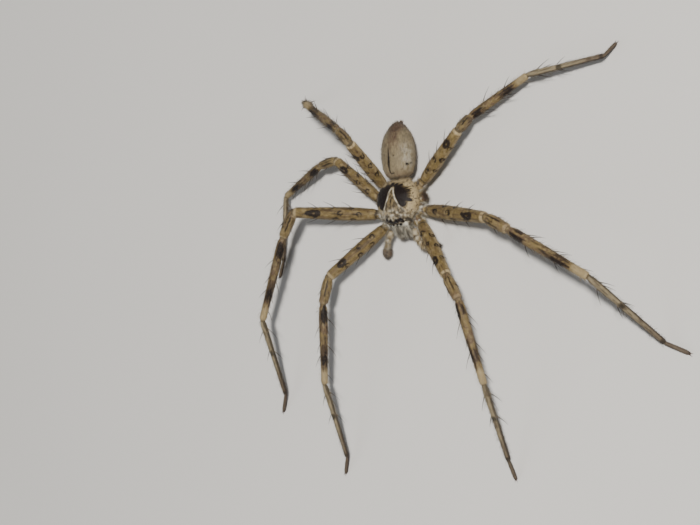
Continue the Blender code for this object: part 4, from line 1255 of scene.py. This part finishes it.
def spike_corners(place, normal, lie, angle, length, width, bent):
    """Corners of every hair: three at the root, three at the bend if there is one, and the tip."""
    side = np.cross(normal, lie)
    first = lie * np.cos(angle * 1.25)[:, None] + normal * np.sin(angle * 1.25)[:, None]
    second = lie * np.cos(angle * 0.55)[:, None] + normal * np.sin(angle * 0.55)[:, None]
    middle = place + first * (0.5 * length)[:, None]
    tip = middle + second * (0.5 * length)[:, None]
    root = place - normal * ROOT_DEPTH
    offsets = [side * math.cos(t) + normal * math.sin(t) for t in np.radians([90.0, 210.0, 330.0])]
    rings = []
    for centre, size in ((root, 1.0), (middle, 0.72)) if bent else ((root, 1.0),):
        rings.append(np.stack([centre + offset * (size * width) for offset in offsets], axis=1))
    corners = np.concatenate(rings + [tip[:, None, :]], axis=1)
    corners[:, :, 2] = np.maximum(corners[:, :, 2], FLOOR_CLEARANCE)
    return corners


def spike_mesh(name, corners, pattern):
    """One mesh of all hairs, and the vertex at each corner of its faces."""
    count, per_hair, _ = corners.shape
    loops = np.array([index for face in pattern for index in face])
    sizes = np.array([len(face) for face in pattern])
    hairs = np.arange(count)[:, None]
    loop_index = (loops[None, :] + hairs * per_hair).reshape(-1)
    starts = (np.concatenate([[0], np.cumsum(sizes)[:-1]])[None, :] + hairs * len(loops)).reshape(-1)
    mesh = bpy.data.meshes.new(name)
    mesh.vertices.add(count * per_hair)
    mesh.vertices.foreach_set("co", (corners.reshape(-1) * MM).astype(np.float32))
    mesh.loops.add(len(loop_index))
    mesh.loops.foreach_set("vertex_index", loop_index.astype(np.int32))
    mesh.polygons.add(len(starts))
    mesh.polygons.foreach_set("loop_start", starts.astype(np.int32))
    mesh.update(calc_edges=True)
    mesh.shade_smooth()
    print("%-22s %6d hairs %7d triangles" % (name, count, int((sizes - 2).sum()) * count))
    return mesh, loop_index


def grow(name, place, normal, nearest, length, width, lean, wild, bent, finish):
    """Hair from roots: lean is its angle to the skin in degrees, wild its disorder."""
    count = len(place)
    lie = skin_survey["lie"][nearest] + wild * DRAW.normal(size=(count, 3))
    lie = lie - normal * (lie * normal).sum(axis=1)[:, None]
    lie /= np.linalg.norm(lie, axis=1)[:, None] + 1e-9
    angle = np.radians(lean * (0.75 + 0.5 * DRAW.random(count)))
    length = length * (0.65 + 0.6 * DRAW.random(count))
    corners = spike_corners(place, normal, lie, angle, length, width, bent)
    mesh, loop_index = spike_mesh(name, corners, BENT_SPIKE if bent else PLAIN_SPIKE)
    per_hair = corners.shape[1]
    local = [((index % 3) * 0.5 - 0.5, -0.5 if index < 3 else 0.1) for index in range(per_hair - 1)]
    local = np.array(local + [(0.0, 0.5)])
    patch = map_place(nearest)[:, None, :] + PATCH * local[None, :, :]
    coat_map = mesh.uv_layers.new(name="OFBake")
    coat_map.data.foreach_set("uv", patch.reshape(-1, 2)[loop_index].reshape(-1).astype(np.float32))
    for mask_name in MASK_NAMES:
        store(mesh, mask_name, np.repeat(skin_masks[mask_name][nearest], per_hair))
    hair_grain = grain[nearest] + 0.3 * DRAW.normal(size=(count, 3))
    store(mesh, "grain", np.repeat(hair_grain, per_hair, axis=0), "FLOAT_VECTOR")
    mesh.materials.append(finish)
    obj = place_object(name, mesh)
    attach(obj, "root")


def coat(name, table, width, wild, where, bent=False, finish=coat_finish):
    """A coat from a table by zone; where thins or thickens it over the skin."""
    place, normal, nearest = draw_roots(zone_values(table, 0) * DENSER * where)
    clear = place[:, 2] > LOWEST_ROOT
    place, normal, nearest = place[clear], normal[clear], nearest[clear]
    length, lean = zone_values(table, 1)[nearest], zone_values(table, 2)[nearest]
    grow(name, place, normal, nearest, length, width, lean, wild, bent, finish)


# by zone: hairs to a square millimetre before DENSER, length, lean in degrees
SHORT = {
    "carapace": (45, 0.34, 16), "abdomen": (60, 0.42, 18), "under": (20, 0.35, 30), "jaw": (75, 0.50, 24),
    "coxa": (62, 0.55, 26), "stump": (62, 0.50, 30), "femur": (42, 0.40, 20), "patella": (44, 0.38, 22),
    "tibia": (46, 0.40, 24), "metatarsus": (54, 0.36, 28), "palp_base": (74, 0.40, 24),
    "palp_knee": (74, 0.40, 24), "palp_shin": (74, 0.40, 24), "palp_bulb": (74, 0.40, 24),
}
SHORT_WIDTH = 0.014
is_left = points[:, 0] > body_home[0]
on_leg = on(skin_survey, "femur", "patella", "tibia", "metatarsus")
coat("coat_of_left_legs", SHORT, SHORT_WIDTH, 0.22, is_left & on_leg)
coat("coat_of_right_legs", SHORT, SHORT_WIDTH, 0.22, ~is_left & on_leg)
coat("coat_of_body", SHORT, SHORT_WIDTH, 0.25, ~on_leg)

# %% [markdown]
# Over the short coat stand fewer, longer hairs, in the colours of the skin at
# their roots. They stand closest on the jaws and the palps, and closer along the
# rim of the carapace than on the rest of it.

# %% Grow the longer hair
LONG = {
    "coxa": (9, 0.95, 34), "stump": (16, 0.95, 40), "jaw": (26, 0.95, 34), "palp_base": (14, 0.7, 34),
    "palp_knee": (14, 0.7, 34), "palp_shin": (18, 0.7, 34), "palp_bulb": (24, 0.6, 36),
    "femur": (1.5, 0.7, 38), "patella": (3, 0.7, 40), "tibia": (5, 0.85, 46), "metatarsus": (7, 0.75, 46),
    "abdomen": (4, 0.7, 28), "under": (4, 0.7, 40), "carapace": (1.5, 0.7, 30),
}
body = to_body(points)
on_rim = (np.abs(body[:, 2] - 5.9) < 0.45) | (body[:, 1] < -3.5)
thicker = np.where(on(skin_survey, "carapace") & on_rim, 9.0, 1.0)
coat("long_hair", LONG, 0.016, 0.28, thicker, bent=True)

# %% [markdown]
# Under the feet and the outer half of the metatarsi stands a dense dark brush,
# which lets a huntsman run on smooth surfaces.

# %% Grow the brushes of the feet
foot_finish = Finish("foot brush", 0.85, Specular_IOR_Level=0.2)
foot_noise = foot_finish.noise(foot_finish.attribute("grain", vector=True), 1.6, 2.0)
foot_finish.feed("Base Color", foot_noise.span(0.35, 0.7).over((0.046, 0.034, 0.031), (0.125, 0.094, 0.084)))
underside = np.abs(skin_survey["turn"]) > math.radians(62)
outer_half = on(skin_survey, "tarsus") | (skin_survey["share"] > 0.42)
near_fangs = skin_survey["share"] > 0.74
foot_hair = foot_finish.material
brush = {"tarsus": (230, 0.15, 48), "metatarsus": (130, 0.20, 48)}
coat("brush_of_feet", brush, 0.014, 0.15, underside & outer_half, finish=foot_hair)
coat("fringe_of_jaws", {"jaw": (40, 0.75, 40)}, 0.018, 0.2, near_fangs, bent=True, finish=foot_hair)
coat("hair_of_feet", {"tarsus": (75, 0.26, 30)}, 0.015, 0.2, ~underside)

# %% [markdown]
# ## Spines
#
# Long dark spines stand on the legs in fixed places. A femur has three round
# each of three stations, and tibia and metatarsus have pairs. Each one is a
# bent cone with seven sides, set in the skin.

# %% Set the spines
SPINE_LEAN = {"femur": 38.0, "patella": 30.0, "tibia": 40.0, "metatarsus": 38.0}
SPINE_SIDES = SPINE_ROWS = 7
SPINE_THICK = 0.085
SPINE_SUNK = 0.22
LOWEST_TIP = 0.4


def bent_cone(form, root, way, bend, length, thick, sides, rows):
    """Add a tapered spike that curves towards bend; returns each point's share along it."""
    rings, point_shares = [], []
    centre = np.array(root, float)
    step = length / (rows - 1)
    for row in range(rows):
        t = row / (rows - 1)
        facing = unit(way * (1 - 0.42 * t) + bend * 0.42 * t)
        if row:
            centre = centre + facing * step
        radius = thick * (1 - 0.86 * t ** 0.85)
        rings.extend(tube_rings(centre, centre + facing, [radius], [0.0], sides, top=(0.31, 0.42, 0.85)))
        point_shares.extend([t] * sides)
    form.add_rings(rings)
    return point_shares + [0.0, 1.0]


spines = Form()
spine_share = []
for leg, segment, start, end, profile, stoutness in tubes:
    axes = axes_along(start, end)
    length = np.linalg.norm(end - start)
    for share, degrees, reach, _ in LEG_SPINES.get(segment, ()):
        around = math.radians(degrees + DRAW.uniform(-5, 5)) * (1.0 if leg.startswith("right") else -1.0)
        lean = math.radians(SPINE_LEAN[segment] + DRAW.uniform(-8, 8))
        outward = axes[1] * math.sin(around) + axes[2] * math.cos(around)
        way = axes[0] * math.cos(lean) + outward * math.sin(lean)
        radius = float(smooth_profile(profile, np.array([share]))[0]) * stoutness
        root = start + axes[0] * share * length + outward * radius - way * SPINE_SUNK
        tip = root + way * (reach + SPINE_SUNK)
        if tip[2] < LOWEST_TIP:
            continue
        reach = reach * DRAW.uniform(0.85, 1.1) + SPINE_SUNK
        spine_share += bent_cone(spines, root, way, axes[0], reach, SPINE_THICK, SPINE_SIDES, SPINE_ROWS)
spine_mesh = spines.mesh("spines")
spine_mesh.shade_smooth()
store(spine_mesh, "reach", spine_share)
spine_object = place_object("spines", spine_mesh)
spine_finish = Finish("spine horn", 0.35, Specular_IOR_Level=0.5)
reach = spine_finish.attribute("reach")
spine_color = reach.span(0.04, 0.20).over((0.20, 0.145, 0.085), (0.022, 0.013, 0.010))
spine_finish.feed("Base Color", reach.span(0.75, 1.0).over(spine_color, (0.06, 0.035, 0.022)))
spine_mesh.materials.append(spine_finish.material)
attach(spine_object, "root")
print("spines:", len(spine_mesh.vertices) // (SPINE_SIDES * SPINE_ROWS + 2))

# %% [markdown]
# ## Eyes
#
# Eight eyes look out of the front of the carapace in two rows. They are the only wet gloss on the animal,
# nearly black, with a little painted reflection of brown on their lower half.

# %% Set the eyes
eye_finish = Finish("eye", 0.06, Coat_Weight=1.0, Coat_Roughness=0.03, IOR=1.5)
# painted reflection: brown on the lower half of each eye, read from the brow attribute
eye_finish.feed("Base Color", eye_finish.attribute("brow").over((0.006, 0.005, 0.006), (0.050, 0.026, 0.012)))
for node in [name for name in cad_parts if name.startswith("eye_")]:
    low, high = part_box(node)
    centre, radius = (low + high) / 2, (high - low).z / 2
    ball = bmesh.new()
    place = Matrix.Translation(centre)
    bmesh.ops.create_uvsphere(ball, u_segments=32, v_segments=18, radius=radius, matrix=place)
    mesh = bpy.data.meshes.new(node + "_lens")
    ball.to_mesh(mesh)
    ball.free()
    mesh.shade_smooth()
    heights = np.array([(vertex.co.z - centre.z) / radius for vertex in mesh.vertices])
    # brow holds the painted reflection: 1 at the bottom of the eye, 0 on its upper half
    store(mesh, "brow", np.clip(-heights, 0, 1))
    mesh.materials.append(eye_finish.material)
    lens = place_object(node + "_lens", mesh)
    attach(lens, "root")
    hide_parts(node)
print("eyes set")

# %% [markdown]
# ## Fangs and claws
#
# The fangs fold inwards under the jaws, dark red-brown and glossy like horn.
# Each foot ends in two small curved claws.

# %% Make fangs and claws
horn = Form()
for sign, root, end in jaw_tubes:
    pointing = unit(-sign * 0.55 * side_way + 0.75 * tail_way + upward(-0.35))
    start = root + (end - root) * 0.86
    bent_cone(horn, start, pointing, -sign * side_way + 0.6 * tail_way, 1.15, 0.24, sides=14, rows=12)
claws = Form()
for joints in LEG_JOINTS.values():
    axes = axes_along(joints[-2], joints[-1])
    for sign in (-1.0, 1.0):
        way = unit(axes[0] * 0.86 + axes[1] * sign * 0.20 + upward(0.40))
        root = joints[-1] - axes[0] * 0.22 + axes[1] * sign * 0.11 + upward(0.12)
        bent_cone(claws, root, way, axes[0] * 0.6 - upward(0.8), 0.55, 0.075, sides=8, rows=9)
horn_finish = Finish("horn", 0.22, Specular_IOR_Level=0.5)
horn_noise = horn_finish.noise(horn_finish.start.node("ShaderNodeTexCoord", output=3), 900.0, 2.0)
horn_finish.feed("Base Color", horn_noise.span(0.3, 0.7).over((0.030, 0.012, 0.008), (0.075, 0.026, 0.014)))
for form, name, slot in ((horn, "fangs", "jaw"), (claws, "claws", "foot")):
    mesh = form.mesh(name)
    mesh.shade_smooth()
    mesh.materials.append(horn_finish.material)
    obj = place_object(name, mesh)
    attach(obj, "root")
print("fangs and claws set")

# %% [markdown]
# ## Hand the skin to the frame
#
# The skin stands for every node of flesh. The nodes stay in the file for the
# physics, and are hidden here.

# %% Replace the flesh
FLESH_NODES = [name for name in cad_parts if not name.startswith("eye_")]
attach(skin, "root")
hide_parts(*FLESH_NODES)
print("skin replaces %d nodes" % len(FLESH_NODES))

# %% [markdown]
# ## Floor and light
#
# A pale floor and soft light keep the eye on the animal. The main lamp stands
# where the photograph's light comes from, high and to the camera's side, so the
# shadows fall close beside the legs as they do there.

# %% Floor and lamps
FLOOR_REACH = 4.0
corners = [(x * FLOOR_REACH, y * FLOOR_REACH, 0) for x, y in ((-1, -1), (1, -1), (1, 1), (-1, 1))]
floor_mesh = bpy.data.meshes.new("floor")
floor_mesh.from_pydata(corners, [], [(0, 1, 2, 3)])
floor_finish = Finish("pale floor", 0.75, Specular_IOR_Level=0.25)
floor_noise = floor_finish.noise(floor_finish.start.node("ShaderNodeTexCoord", output=3), 6.0, 3.0)
floor_finish.feed("Base Color", floor_noise.span(0.3, 0.7).over((0.66, 0.645, 0.62), (0.70, 0.685, 0.66)))
floor_mesh.materials.append(floor_finish.material)
floor = place_object("floor", floor_mesh)


def soft_light(name, place, size, power, color):
    data = bpy.data.lights.new(name, "AREA")
    data.shape = "DISK"
    data.size = size
    data.energy = power
    data.color = color
    lamp = place_object(name, data)
    lamp.location = place
    lamp.rotation_mode = "QUATERNION"
    lamp.rotation_quaternion = (-Vector(place)).to_track_quat("-Z", "Y")


soft_light("main lamp", (0.34, 0.02, 0.60), 0.055, 6.8, (1.0, 0.97, 0.92))
soft_light("fill lamp", (-0.45, -0.45, 0.55), 0.6, 1.3, (0.93, 0.96, 1.0))
world = bpy.data.worlds.new("room")
bpy.context.scene.world = world
world.use_nodes = True
sky = world.node_tree.nodes["Background"]
sky.inputs["Color"].default_value = (0.95, 0.97, 1.0, 1.0)
sky.inputs["Strength"].default_value = 0.13
print("floor and lamps stand")
